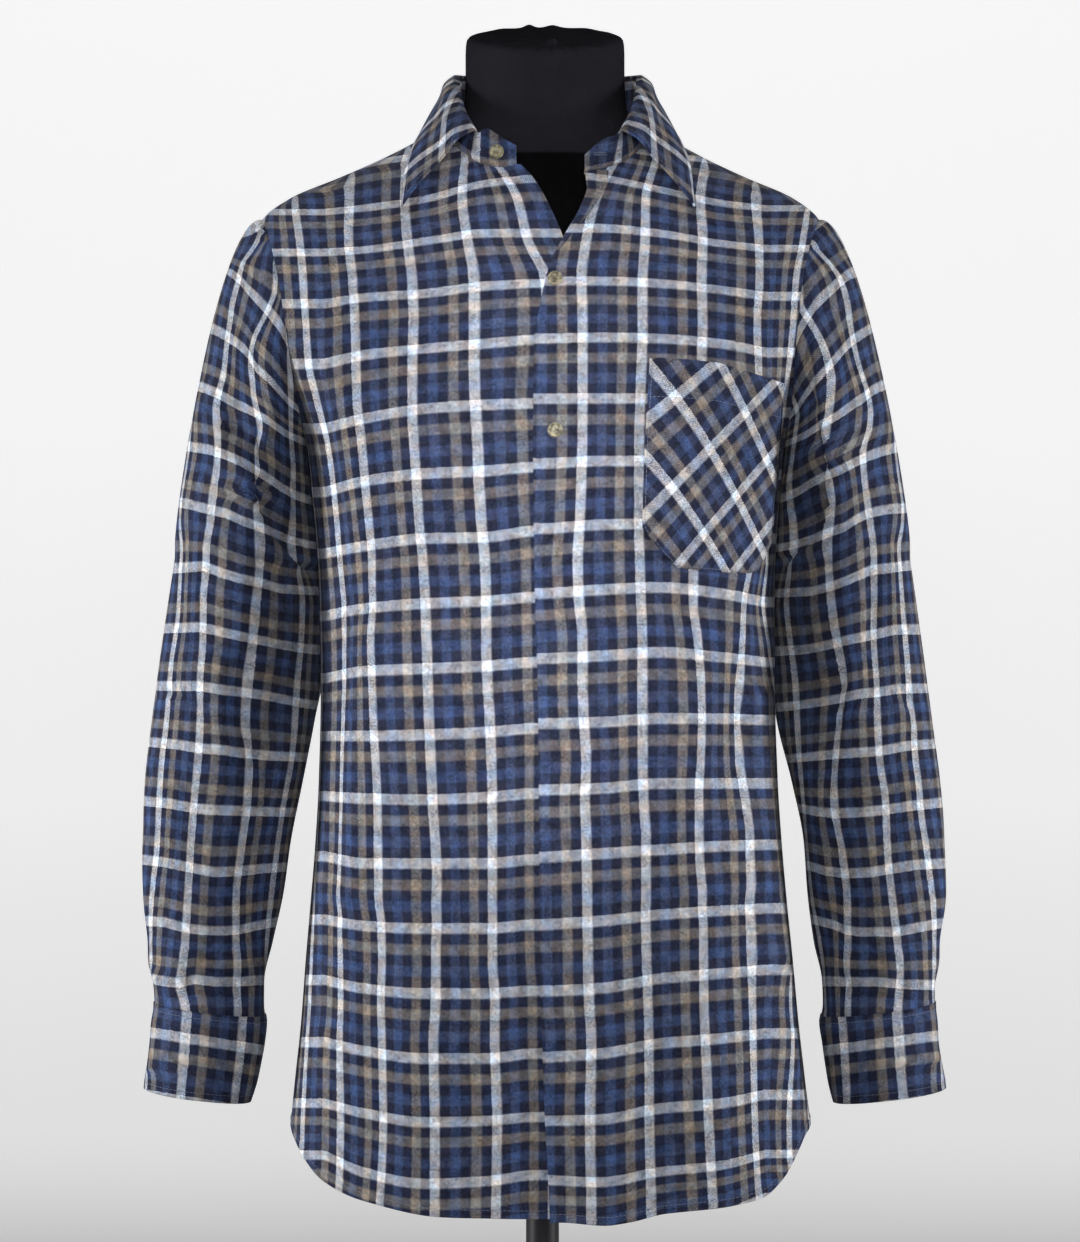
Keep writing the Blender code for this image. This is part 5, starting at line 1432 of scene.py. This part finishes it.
def jersey_material(form):
    """Dull stretch jersey: fine ribs, pills and dust; below the neck's seam a near-black body jersey
    paints the shade of the hollow under the collar.
    """
    make = Maker("form_jersey")
    spot = make.place()
    fine = make.noise(spot, 1500.0, 2.0, 0.6)
    soft = make.noise(spot, 22.0, 3.0)
    dust = make.noise(spot, 420.0, 1.0).spread(0.70, 0.80)
    dark = tuple(form.cover)
    pale = tuple(min(1.0, c * 2.2 + 0.004) for c in dark)
    neck = make.blend(dust * 0.35 + soft * 0.35, dark, pale)
    # Below the neck's seam the body's jersey is far darker: painted shade of the hollow under the collar
    # and shirt
    colour = make.blend(make.part(spot, 2).spread(*NECK_SHADE_SEAM), tuple(form.body), neck)
    return make.finish(Base_Color=colour, Roughness=0.95, Specular_IOR_Level=0.0,
                       Normal=make.bump(fine, 0.35, 0.0005))


def metal_material(form):
    """Black powder coat with a fine grain."""
    make = Maker("stand_coat")
    spot = make.place()
    grain = make.noise(spot, 900.0, 2.0, 0.6)
    wear = make.noise(spot, 30.0, 4.0, 0.7)
    dark = tuple(form.metal)
    colour = make.blend(wear, dark, tuple(c * 2.0 + 0.003 for c in dark))
    return make.finish(Base_Color=colour, Roughness=wear * 0.2 + 0.38, Specular_IOR_Level=0.22,
                       Normal=make.bump(grain, 0.25, 0.0003))


def backdrop_material(stage):
    """Pale paper that glows softly behind the part and lets the view through from behind."""
    make = Maker("studio_paper")
    spot = make.place()
    mottle = make.noise(spot, 0.9, 2.0)
    pale = tuple(stage.paper)
    colour = make.blend(mottle, tuple(c * 0.985 for c in pale), pale)
    pool = 1.0 - make.part(spot, 0).math("ABSOLUTE").spread(*POOL_WIDTH)
    rise = make.add("ShaderNodeValToRGB", {"stops": stage_glow(stage.glow)},
                    {0: make.part(spot, 2) / 3.0})
    pool = pool * make.part(spot, 1).spread(*POOL_DEPTH)
    glow = make.add("ShaderNodeVectorMath", {"operation": "SCALE"}, {0: rise, "Scale": pool})
    behind = make.add("ShaderNodeNewGeometry", {}, {}, "Backfacing")
    return make.finish(Base_Color=colour, Roughness=0.95, Specular_IOR_Level=0.1, Emission_Color=glow,
                       Emission_Strength=1.0, Alpha=1.0 - behind)


def stage_glow(power):
    """The backdrop's own light: more towards its top."""
    return [(place, (share * power,) * 3) for place, share in GLOW_STOPS]


FINISHES = {}


def finish_of(name, maker, settings):
    """A material that is made once and shared."""
    if name not in FINISHES:
        FINISHES[name] = maker(settings)
    return FINISHES[name]


def cloth_finish():
    return finish_of("plaid", plaid_material, bpy.context.scene.shirt_cloth)


def thread_finish():
    return finish_of("thread", thread_material, bpy.context.scene.shirt_cloth)


# Settings -----------------------------
def yarn(name, colour, text):
    return FloatVectorProperty(name=name, description=text, subtype="COLOR", size=3, min=0.0, max=1.0,
                               default=colour)


def length(name, value, text):
    return FloatProperty(name=name, description=text, subtype="DISTANCE", unit="LENGTH", min=0.0,
                         default=value)


class ShirtCloth(bpy.types.PropertyGroup):
    white: yarn("White yarn", (0.735, 0.765, 0.812), "Colour of the white bands")
    navy: yarn("Navy yarn", (0.0190, 0.0225, 0.0475), "Colour of the dark bands")
    blue: yarn("Blue yarn", (0.0520, 0.0815, 0.178), "Colour of the blue bands")
    tan: yarn("Tan yarn", (0.248, 0.226, 0.200), "Colour of the tan bands")
    thread: yarn("Thread", (0.12, 0.14, 0.20), "Colour of the sewing thread")
    ends: FloatProperty(name="Ends", description="Warp yarns in a repeat", default=110.0)
    picks: FloatProperty(name="Picks", description="Weft yarns in a repeat", default=104.0)
    wall: length("Cloth", 0.0011, "Thickness of one layer of cloth")
    band: length("Collar and cuffs", 0.0018, "Thickness of the doubled cloth")


class ShirtButtons(bpy.types.PropertyGroup):
    cream: yarn("Cream", (0.56, 0.53, 0.37), "Lightest tone of the horn")
    olive: yarn("Olive", (0.26, 0.23, 0.12), "Middle tone of the horn")
    dark: yarn("Dark", (0.045, 0.038, 0.018), "Darkest tone of the horn")


class ShirtForm(bpy.types.PropertyGroup):
    cover: yarn("Neck", (0.0124, 0.0120, 0.0150), "Colour of the jersey over the form's neck")
    # Set far darker than the neck's jersey: painted shade of the hollow under the collar
    body: yarn("Body", (0.0024, 0.0024, 0.0026), "Colour of the jersey over the form's body")
    metal: yarn("Stand", (0.010, 0.010, 0.012), "Colour of the stand's coat")


class ShirtStage(bpy.types.PropertyGroup):
    paper: yarn("Paper", (0.64, 0.64, 0.64), "Colour of the floor and backdrop")
    glow: FloatProperty(name="Backdrop glow", description="Light of the backdrop itself", default=0.82)
    left_power: FloatProperty(name="Left light", description="Power of the left light", default=10.4)
    right_power: FloatProperty(name="Right light", description="Power of the right light", default=8.2)
    top_power: FloatProperty(name="Top light", description="Power of the light above", default=5.0)
    front_power: FloatProperty(name="Front light", description="Power of the front light", default=3.0)
    middle_power: FloatProperty(name="Middle light", description="Power of the narrow beam",
                                default=0.27)


# Pieces -------------------------------
def panel_columns():
    """Column positions of a front, closer together by its free edge."""
    return np.concatenate([EDGE_STEPS, np.linspace(0.015, 1, FRONT_COLS)])


def hemmed(p, n):
    """A panel's points with its doubled hem standing out a little."""
    p[:HEM_ROWS] += n[:HEM_ROWS] * HEM_STEP
    return p


class SHIRT_OT_body(bpy.types.Operator):
    """Builds the two fronts and the back"""

    bl_idname = "shirt.body"
    bl_label = "Fronts and back"

    def execute(self, context):
        cloth = context.scene.shirt_cloth
        rows = panel_rows()
        for side, word in SIDES:
            grid = front_grid(side, panel_columns(), rows)
            p = hemmed(*front_surface(side, grid))
            uv = front_plaid(side, grid[..., 0] * side, grid[..., 1], p)
            ob = cloth_piece("cloth_front_" + word, p, uv, cloth.wall)
            dress(ob, cloth_finish(), "cloth", "front_" + word)
        p = facing_surface()[0]
        uv = front_plaid(1, body_angle(p[..., 0], p[..., 2]), p[..., 2], p)
        wide = curve(rising(FACING), p[..., 2]) * 1000
        uv[..., 0] = FACING_START - np.linspace(0, 1, p.shape[1]) * wide / WARP_MM
        ob = cloth_piece("cloth_facing_left", p, uv, cloth.wall)
        dress(ob, cloth_finish(), "cloth")
        grid = back_grid(np.linspace(0, 1, BACK_COLS), rows)
        p = hemmed(*back_surface(grid))
        ob = cloth_piece("cloth_back", p, back_plaid(grid[..., 0], grid[..., 1]), cloth.wall)
        dress(ob, cloth_finish(), "cloth", "back")
        return {"FINISHED"}


def tucked(side, p):
    """A sleeve with its top edge turned under the body and its lower edge turned into the cuff."""
    top = p[0] + 0.5 * (p[0] - p[1]) / np.linalg.norm(p[0] - p[1], axis=1)[:, None] * 0.004
    angle = np.degrees(np.arctan2(p[0][:, 0], -p[0][:, 1]))
    top = top - body_normal(angle, p[0][:, 2]) * 0.0028
    theta = np.linspace(0, 360, p.shape[1], endpoint=False)
    low = sleeve_ring(side, theta, CUFF_SEAM - CUFF_SEWN, -0.0012)
    return np.concatenate([top[None], p, low[None]])


def unrolled(grid):
    """Turns a closed grid so that it starts and ends on its inner line."""
    half = grid.shape[1] // 2
    turned = np.roll(grid, -half, axis=1)
    return np.concatenate([turned, turned[:, :1]], axis=1)


class SHIRT_OT_sleeves(bpy.types.Operator):
    """Builds the sleeves and their cuffs"""

    bl_idname = "shirt.sleeves"
    bl_label = "Sleeves and cuffs"

    def execute(self, context):
        cloth = context.scene.shirt_cloth
        for side, word in SIDES:
            p = tucked(side, sleeve_grid(side, SLEEVE_GAP))
            q = unrolled(p)[:, ::-1]
            ob = cloth_piece("cloth_sleeve_" + word, mirrored(q, side), sleeve_plaid(side, q),
                             cloth.wall, True)
            dress(ob, cloth_finish(), "cloth", "sleeve_" + word)
            theta = np.linspace(0, 360, p.shape[1], endpoint=False)
            levels = np.linspace(CUFF_SEAM - 0.0002, CUFF_END, CUFF_ROWS + 1)
            c = np.stack([sleeve_ring(side, theta, z, CUFF_GROW) for z in levels])
            c = unrolled(c)[:, ::-1]
            ob = cloth_piece("cloth_cuff_" + word, mirrored(c, side), cuff_plaid(side, c),
                             cloth.band, True)
            dress(ob, cloth_finish(), "cloth", "cuff_" + word)
        return {"FINISHED"}


def cuff_plaid(side, p):
    stripes, outer = CUFF_STRIPES[side]
    u = round_plaid(p, stripes, outer, WARP_MM)
    x, height = seen(p)
    (x0, z0), (x1, z1) = CUFF_ROW[side]
    level = z0 + (z1 - z0) * (x - x0) / (x1 - x0)
    return np.stack([u, (level - height) / WEFT_MM], -1)


class SHIRT_OT_collar(bpy.types.Operator):
    """Builds the turned-down collar and its band"""

    bl_idname = "shirt.collar"
    bl_label = "Collar"

    def execute(self, context):
        cloth = context.scene.shirt_cloth
        p = leaf_surface()
        ob = cloth_piece("cloth_collar_leaf", p, leaf_plaid(p), cloth.band)
        dress(ob, cloth_finish(), "cloth", "collar_leaf")
        q = band_surface(*BAND_FINE)
        tuck = q[:1] + inward_at(q[:1]) * 0.0012
        tuck[..., 2] -= 0.0045
        q = np.concatenate([tuck, q])
        ob = cloth_piece("cloth_collar_band", q, strip_plaid(q, *BAND_START), cloth.band)
        dress(ob, cloth_finish(), "cloth", "collar_band")
        return {"FINISHED"}


def strip_plaid(p, start_u, start_v):
    """Repeats along and down a strip grid, from its middle column and its first row."""
    row = p[len(p) // 2]
    step = np.concatenate([[0], np.cumsum(np.linalg.norm(np.diff(row, axis=0), axis=1))]) * 1000
    step = step - step[len(step) // 2]
    down = np.linalg.norm(np.diff(p, axis=0), axis=2) * 1000
    down = np.concatenate([np.zeros((1, p.shape[1])), np.cumsum(down, 0)], 0)
    u = np.broadcast_to(step / WARP_MM + start_u, down.shape)
    return np.stack([u, down / WEFT_MM + start_v], -1)


def leaf_plaid(p):
    """The strip's plaid, turned towards the collar's points as the leaf widens."""
    plaid = strip_plaid(p, 0.0, 0.0)
    side = np.sign(plaid[..., 0])
    along = np.abs(plaid[..., 0])
    turn = LEAF_TURN * smooth((along - LEAF_TURN_FROM + 0.7) / 1.4)
    u = LEAF_TURN_FROM + np.cos(turn) * (along - LEAF_TURN_FROM) + np.sin(turn) * plaid[..., 1]
    v = np.cos(turn) * plaid[..., 1] - np.sin(turn) * (along - LEAF_TURN_FROM)
    skew = np.where(side < 0, LEAF_SKEW, 0.0) * smooth(along / 3)
    return np.stack([side * (u - LEAF_START[0]) + skew, v + LEAF_START[1]], -1)


class SHIRT_OT_pocket(bpy.types.Operator):
    """Builds the chest pocket, cut on the bias"""

    bl_idname = "shirt.pocket"
    bl_label = "Pocket"

    def execute(self, context):
        cloth = context.scene.shirt_cloth
        p = pocket_surface()[0]
        x, height = seen(p)
        x = (x - POCKET_MIDDLE[0]) / 100
        y = (height - POCKET_MIDDLE[1]) / 100
        terms = (1.0, x, y, x * y, x * x, y * y)
        u, v = (sum(c * t for c, t in zip(row, terms)) for row in POCKET_BIAS)
        ob = cloth_piece("cloth_pocket", p, np.stack([u, v], -1), cloth.wall)
        dress(ob, cloth_finish(), "cloth", "pocket")
        return {"FINISHED"}


def between(p, n, row, above):
    """A line between two rows of a grid, a little above it, with its normals."""
    first = math.floor(row)
    share = row - first
    line = p[first] * (1 - share) + p[first + 1] * share
    out = unit(n[first] * (1 - share) + n[first + 1] * share)
    return line + out * above, out


def cuff_line(side, z, above):
    theta = np.linspace(0, 360, 90)
    ring = mirrored(sleeve_ring(side, theta, z, CUFF_GROW), side)
    out = ring - ring[:-1].mean(0)
    out[:, 2] = 0
    return ring + unit(out) * above, unit(out)


def band_spot(p, n, place):
    """Point and normal of the band's front that are nearest to an (x, height) place."""
    flat = p.reshape(-1, 3)
    near = np.argmin(np.abs(flat[:, 0] - place[0]) + np.abs(flat[:, 2] - place[1]) + (flat[:, 1] > 0))
    return flat[near], n.reshape(-1, 3)[near]


def buttonhole_lines(p, n):
    """Short lines across a slit along the band, on both of its sides."""
    spot, out = band_spot(p, n, BUTTONHOLE)
    along = unit(np.cross(out, [0.0, 0.0, 1.0]))
    up = np.cross(along, out)
    lines = []
    for step in np.linspace(-0.006, 0.006, 24):
        for low, high in ((-0.0015, -0.0003), (0.0003, 0.0015)):
            ends = [spot + along * step + up * s + out * 0.0011 for s in (low, high)]
            lines.append((np.array(ends), np.array([out, out])))
    return lines


class SHIRT_OT_sewing(bpy.types.Operator):
    """Sews the visible rows of stitches"""

    bl_idname = "shirt.sewing"
    bl_label = "Stitching"

    def execute(self, context):
        cloth = context.scene.shirt_cloth
        single = cloth.wall / 2 + 0.0001
        double = cloth.band / 2 + 0.0001
        hems = []
        for side in (-1, 1):
            grid = front_grid(side, panel_columns(), panel_rows()[:SEWN_ROWS])
            hems.append(between(*front_surface(side, grid), 2.8, HEM_STEP + single))
        grid = back_grid(np.linspace(0, 1, BACK_COLS), panel_rows()[:SEWN_ROWS])
        hems.append(between(*back_surface(grid), 2.8, HEM_STEP + single))
        cuffs = [cuff_line(side, z, double) for side in (-1, 1)
                 for z in (CUFF_SEAM - CUFF_SEWN, CUFF_END + 0.006)]
        leaf = leaf_surface()
        out = sheet_normals(leaf)
        edge, normals = between(leaf, out, len(leaf) - 3.5, double)
        collar = [(edge[2:-2], normals[2:-2])]
        turned = leaf.transpose(1, 0, 2), out.transpose(1, 0, 2)
        for column in (1.4, turned[0].shape[0] - 2.4):
            edge, normals = between(*turned, column, double)
            collar.append((edge[2:-3], normals[2:-3]))
        band = band_surface(*BAND_FINE)
        out = -sheet_normals(band)
        line, normals = between(band, out, 0.8, double)
        collar.append((line[3:-3], normals[3:-3]))
        p, n = pocket_surface()
        turned = p.transpose(1, 0, 2), n.transpose(1, 0, 2)
        pocket = [between(p, n, 0.7, single), between(p, n, len(p) - 9.0, single),
                  between(*turned, 0.8, single), between(*turned, p.shape[1] - 1.8, single)]
        for name, lines in (("hem", hems), ("cuffs", cuffs), ("collar", collar), ("pocket", pocket)):
            dress(stitches("thread_" + name, lines), thread_finish(), "cloth")
        hole = stitches("thread_buttonhole", buttonhole_lines(band, out), 0.0011, 0.0001, 0.00026)
        dress(hole, thread_finish(), "cloth")
        return {"FINISHED"}


class SHIRT_OT_buttons(bpy.types.Operator):
    """Builds the three horn buttons"""

    bl_idname = "shirt.buttons"
    bl_label = "Buttons"

    def execute(self, context):
        buttons = context.scene.shirt_buttons
        rest = LAP_LIFT + WALL / 2 + 0.0004
        spots = [(name, *on_front(np.float64(x), np.float64(z), rest)) for name, x, z in BUTTONS]
        band = band_surface()
        spot, normal = band_spot(band, -sheet_normals(band), COLLAR_BUTTON)
        spots.append(("button_collar", spot + normal * (BAND_WALL / 2 + 0.0008), normal))
        for name, centre, normal in spots:
            ob = plain_piece("horn_" + name, *button_mesh(centre, normal))
            dress(ob, finish_of("horn", mottled_horn, buttons), "horn", name)
        return {"FINISHED"}


def button_mesh(centre, normal):
    """Turned button: rounded rim, dished face and four holes."""
    z = np.asarray(normal, float)
    x = unit(np.cross(z, [0.0, 0.0, 1.0]))
    y = np.cross(z, x)
    radii = np.concatenate([np.linspace(0.02, 0.74, 22), np.linspace(0.76, 1.0, 9)]) * BUTTON_R
    turn = np.linspace(0, math.tau, BUTTON_SIDES, endpoint=False)
    rings = []
    for r, h in BUTTON_BACK:
        rings.append((r * BUTTON_R * np.cos(turn), r * BUTTON_R * np.sin(turn),
                      np.full(BUTTON_SIDES, h * BUTTON_T)))
    for r in radii[::-1]:
        k = r / BUTTON_R
        rim = 1.0 - 0.45 * smooth((k - 0.88) / 0.12)
        face = rim if k > 0.80 else 0.70 + 0.30 * smooth((k - 0.66) / 0.14)
        a, b = r * np.cos(turn), r * np.sin(turn)
        h = np.full(BUTTON_SIDES, face)
        for i in range(4):
            hole = math.tau * (i + 0.5) / 4
            away = np.hypot(a - BUTTON_HOLE * math.cos(hole), b - BUTTON_HOLE * math.sin(hole))
            h = h - 0.55 * (1 - smooth((away - 0.00035) / 0.0004))
        rings.append((a, b, h * BUTTON_T))
    rings = [centre + r[0][:, None] * x + r[1][:, None] * y + r[2][:, None] * z for r in rings]
    return lathe(rings)


def form_ring(angle, z):
    """Ring of the dress form's trunk."""
    a = np.radians(angle)
    width = curve(FORM, z, 1)
    front = np.cos(a) > 0
    depth = np.where(front, curve(FORM, z, 2), curve(FORM, z, 3))
    full = np.where(front, curve(BODY, z, 4), curve(BODY, z, 5))
    full = full + (2.0 - full) * smooth((z - 1.42) / 0.03)
    r = (np.abs(np.sin(a) / width) ** full + np.abs(np.cos(a) / depth) ** full) ** (-1 / full)
    return np.stack([r * np.sin(a), -r * np.cos(a), np.full(len(a), z)], -1)


def gathered(ring):
    """Pleats, knot and rim bumps of the cover where it is gathered over the neck's top."""
    x = ring[:, 0] - KNOT[0]
    y = ring[:, 1] - KNOT[1]
    away = np.hypot(x, y)
    turn = np.arctan2(x, y)
    pleats = np.sin(11 * turn + 2.2 * np.sin(2 * turn)) + 0.6 * np.sin(23 * turn + 1.0)
    push = 0.0011 * pleats * smooth(away / 0.012) * np.exp(-(away / 0.055) ** 2)
    push = push + 0.0045 * np.exp(-(away / 0.0045) ** 2) - 0.002 * np.exp(-((away - 0.010) / 0.004) ** 2)
    for place, high, wide in RIM_BUMPS:
        bump = high * np.exp(-((ring[:, 0] - place) / wide) ** 2)
        push = push + bump * smooth((ring[:, 1] - 0.030) / 0.02)
    out = np.zeros_like(ring)
    out[:, 2] = push * smooth((ring[:, 2] - (NECK_TOP - 0.022 + ring[:, 1] * NECK_SLOPE)) / 0.022)
    return out


class SHIRT_OT_form(bpy.types.Operator):
    """Builds the dress form's jersey cover with its gathered neck"""

    bl_idname = "shirt.form"
    bl_label = "Dress form"

    def execute(self, context):
        form = context.scene.shirt_form
        angle = np.linspace(0, 360, FORM_COLS, endpoint=False)
        a = np.radians(angle)
        rings = [form_ring(angle, z) for z in np.linspace(FORM_BOTTOM, FORM_TOP, 90)]
        for rise, shrink in NECK_RINGS:
            r = NECK_R - shrink
            z = FORM_TOP + (NECK_TOP + 0.002 - FORM_TOP) * rise
            z = z - r * np.cos(a) * NECK_SLOPE * min(rise * 1.05, 1.0)
            rings.append(np.stack([r * np.sin(a), -r * np.cos(a), z], -1))
        for r in np.linspace(0.052, 0.003, 30):
            z = NECK_TOP + 0.0025 - r * np.cos(a) * NECK_SLOPE
            rings.append(np.stack([r * np.sin(a), -r * np.cos(a), z], -1))
        rings = [ring + gathered(ring) for ring in rings]
        ob = plain_piece("form_cover", *lathe(rings))
        dress(ob, finish_of("jersey", jersey_material, form), "form_cover", "form_torso")
        return {"FINISHED"}


class SHIRT_OT_stand(bpy.types.Operator):
    """Builds the turned stand: base, flange, pole and plate"""

    bl_idname = "shirt.stand"
    bl_label = "Stand"

    def execute(self, context):
        low = BASE_T + STAND_GAP
        high = FORM_BOTTOM - STAND_GAP
        turned = (
            ("stand_flange", POLE_X, ((low, 0.044), (low + 0.001, 0.045), (low + 0.003, 0.045),
                                      (low + 0.006, 0.034), (low + 0.012, 0.022), (low + 0.020, 0.018))),
            ("stand_pole", POLE_X, ((low + 0.0205, POLE_R), (high - 0.0185, POLE_R))),
            ("stand_plate", POLE_X, ((high - 0.018, 0.018), (high - 0.010, 0.026), (high - 0.004, 0.050),
                                     (high, 0.052))),
            ("stand_base", 0.0, ((0.0, BASE_R - 0.003), (0.002, BASE_R), (BASE_T - 0.004, BASE_R),
                                 (BASE_T - 0.001, BASE_R - 0.003), (BASE_T, BASE_R - 0.008))),
        )
        turn = np.linspace(0, math.tau, TURNED_SIDES, endpoint=False)
        mat = finish_of("coat", metal_material, context.scene.shirt_form)
        for name, x, profile in turned:
            rings = [np.stack([x + r * np.cos(turn), r * np.sin(turn), np.full(TURNED_SIDES, z)], -1)
                     for z, r in profile]
            ob = plain_piece("turned_" + name, *lathe(rings))
            ob.modifiers.new("corners", "EDGE_SPLIT").split_angle = math.radians(CORNER_TURN)
            dress(ob, mat, "stand_metal", name)
        return {"FINISHED"}


class SHIRT_OT_stage(bpy.types.Operator):
    """Builds the floor, backdrop, lights and camera"""

    bl_idname = "shirt.stage"
    bl_label = "Stage"

    def execute(self, context):
        stage = context.scene.shirt_stage
        front, bend, radius, high, wide = FLOOR
        profile = [(front, 0.0), (bend, 0.0)]
        for t in np.linspace(0, math.pi / 2, 16)[1:]:
            profile.append((bend + radius * math.sin(t), radius - radius * math.cos(t)))
        profile.append((bend + radius, high))
        verts = [(x, y, z) for y, z in profile for x in (-wide, wide)]
        floor = plain_piece("studio_floor", verts, grid_faces(len(profile), 2))
        floor.data.materials.append(finish_of("paper", backdrop_material, stage))
        floor.location.z = -FLOOR_DROP
        for name, spot, aim, width, tall, beam, power in LIGHTS:
            lamp = bpy.data.lights.new(name, "AREA")
            lamp.shape = "RECTANGLE"
            lamp.size = width
            lamp.size_y = tall
            lamp.spread = math.radians(beam)
            lamp.energy = getattr(stage, power)
            ob = bpy.data.objects.new(name, lamp)
            context.scene.collection.objects.link(ob)
            ob.location = spot
            ob.rotation_euler = (Vector(aim) - Vector(spot)).to_track_quat("-Z", "Y").to_euler()
            ob.visible_camera = False
        world = bpy.data.worlds.new("studio")
        world.use_nodes = True
        back = world.node_tree.nodes["Background"]
        back.inputs["Color"].default_value = (1.0, 1.0, 1.0, 1.0)
        path = world.node_tree.nodes.new("ShaderNodeLightPath")
        lit = world.node_tree.nodes.new("ShaderNodeMapRange")
        lit.inputs["To Min"].default_value = ROOM_LIGHT
        lit.inputs["To Max"].default_value = ROOM_SEEN
        world.node_tree.links.new(path.outputs["Is Camera Ray"], lit.inputs["Value"])
        world.node_tree.links.new(lit.outputs["Result"], back.inputs["Strength"])
        context.scene.world = world
        context.scene.view_settings.view_transform = "Standard"
        camera = bpy.data.objects.new("camera", bpy.data.cameras.new("camera"))
        camera.data.sensor_width = SENSOR
        camera.data.lens = LENS
        camera.data.shift_x = SHIFT
        camera.location = (0.0, -EYE, LEVEL)
        camera.rotation_euler = (math.radians(90), 0, 0)
        context.scene.collection.objects.link(camera)
        context.scene.camera = camera
        return {"FINISHED"}


OPERATORS = (SHIRT_OT_form, SHIRT_OT_stand, SHIRT_OT_body, SHIRT_OT_sleeves, SHIRT_OT_collar,
             SHIRT_OT_pocket, SHIRT_OT_sewing, SHIRT_OT_buttons, SHIRT_OT_stage)


class SHIRT_PT_panel(bpy.types.Panel):
    """Lists the shirt's settings and pieces"""

    bl_idname = "SHIRT_PT_panel"
    bl_label = "Flannel shirt"
    bl_space_type = "VIEW_3D"
    bl_region_type = "UI"
    bl_category = "Shirt"

    def draw(self, context):
        for name in SETTINGS:
            group = getattr(context.scene, name)
            box = self.layout.box()
            for key in group.__annotations__:
                box.prop(group, key)
        for operator in OPERATORS:
            self.layout.operator(operator.bl_idname)


SETTINGS = {"shirt_cloth": ShirtCloth, "shirt_buttons": ShirtButtons, "shirt_form": ShirtForm,
            "shirt_stage": ShirtStage}


def register():
    for group in SETTINGS.values():
        bpy.utils.register_class(group)
    for operator in OPERATORS + (SHIRT_PT_panel,):
        bpy.utils.register_class(operator)
    for name, group in SETTINGS.items():
        setattr(bpy.types.Scene, name, PointerProperty(type=group))


def unregister():
    for name in SETTINGS:
        delattr(bpy.types.Scene, name)
    for operator in OPERATORS + (SHIRT_PT_panel,):
        bpy.utils.unregister_class(operator)
    for group in SETTINGS.values():
        bpy.utils.unregister_class(group)


def main():
    register()
    for operator in OPERATORS:
        group, name = operator.bl_idname.split(".")
        getattr(getattr(bpy.ops, group), name)()
    bpy.context.view_layer.update()


if __name__ == "__main__":
    main()
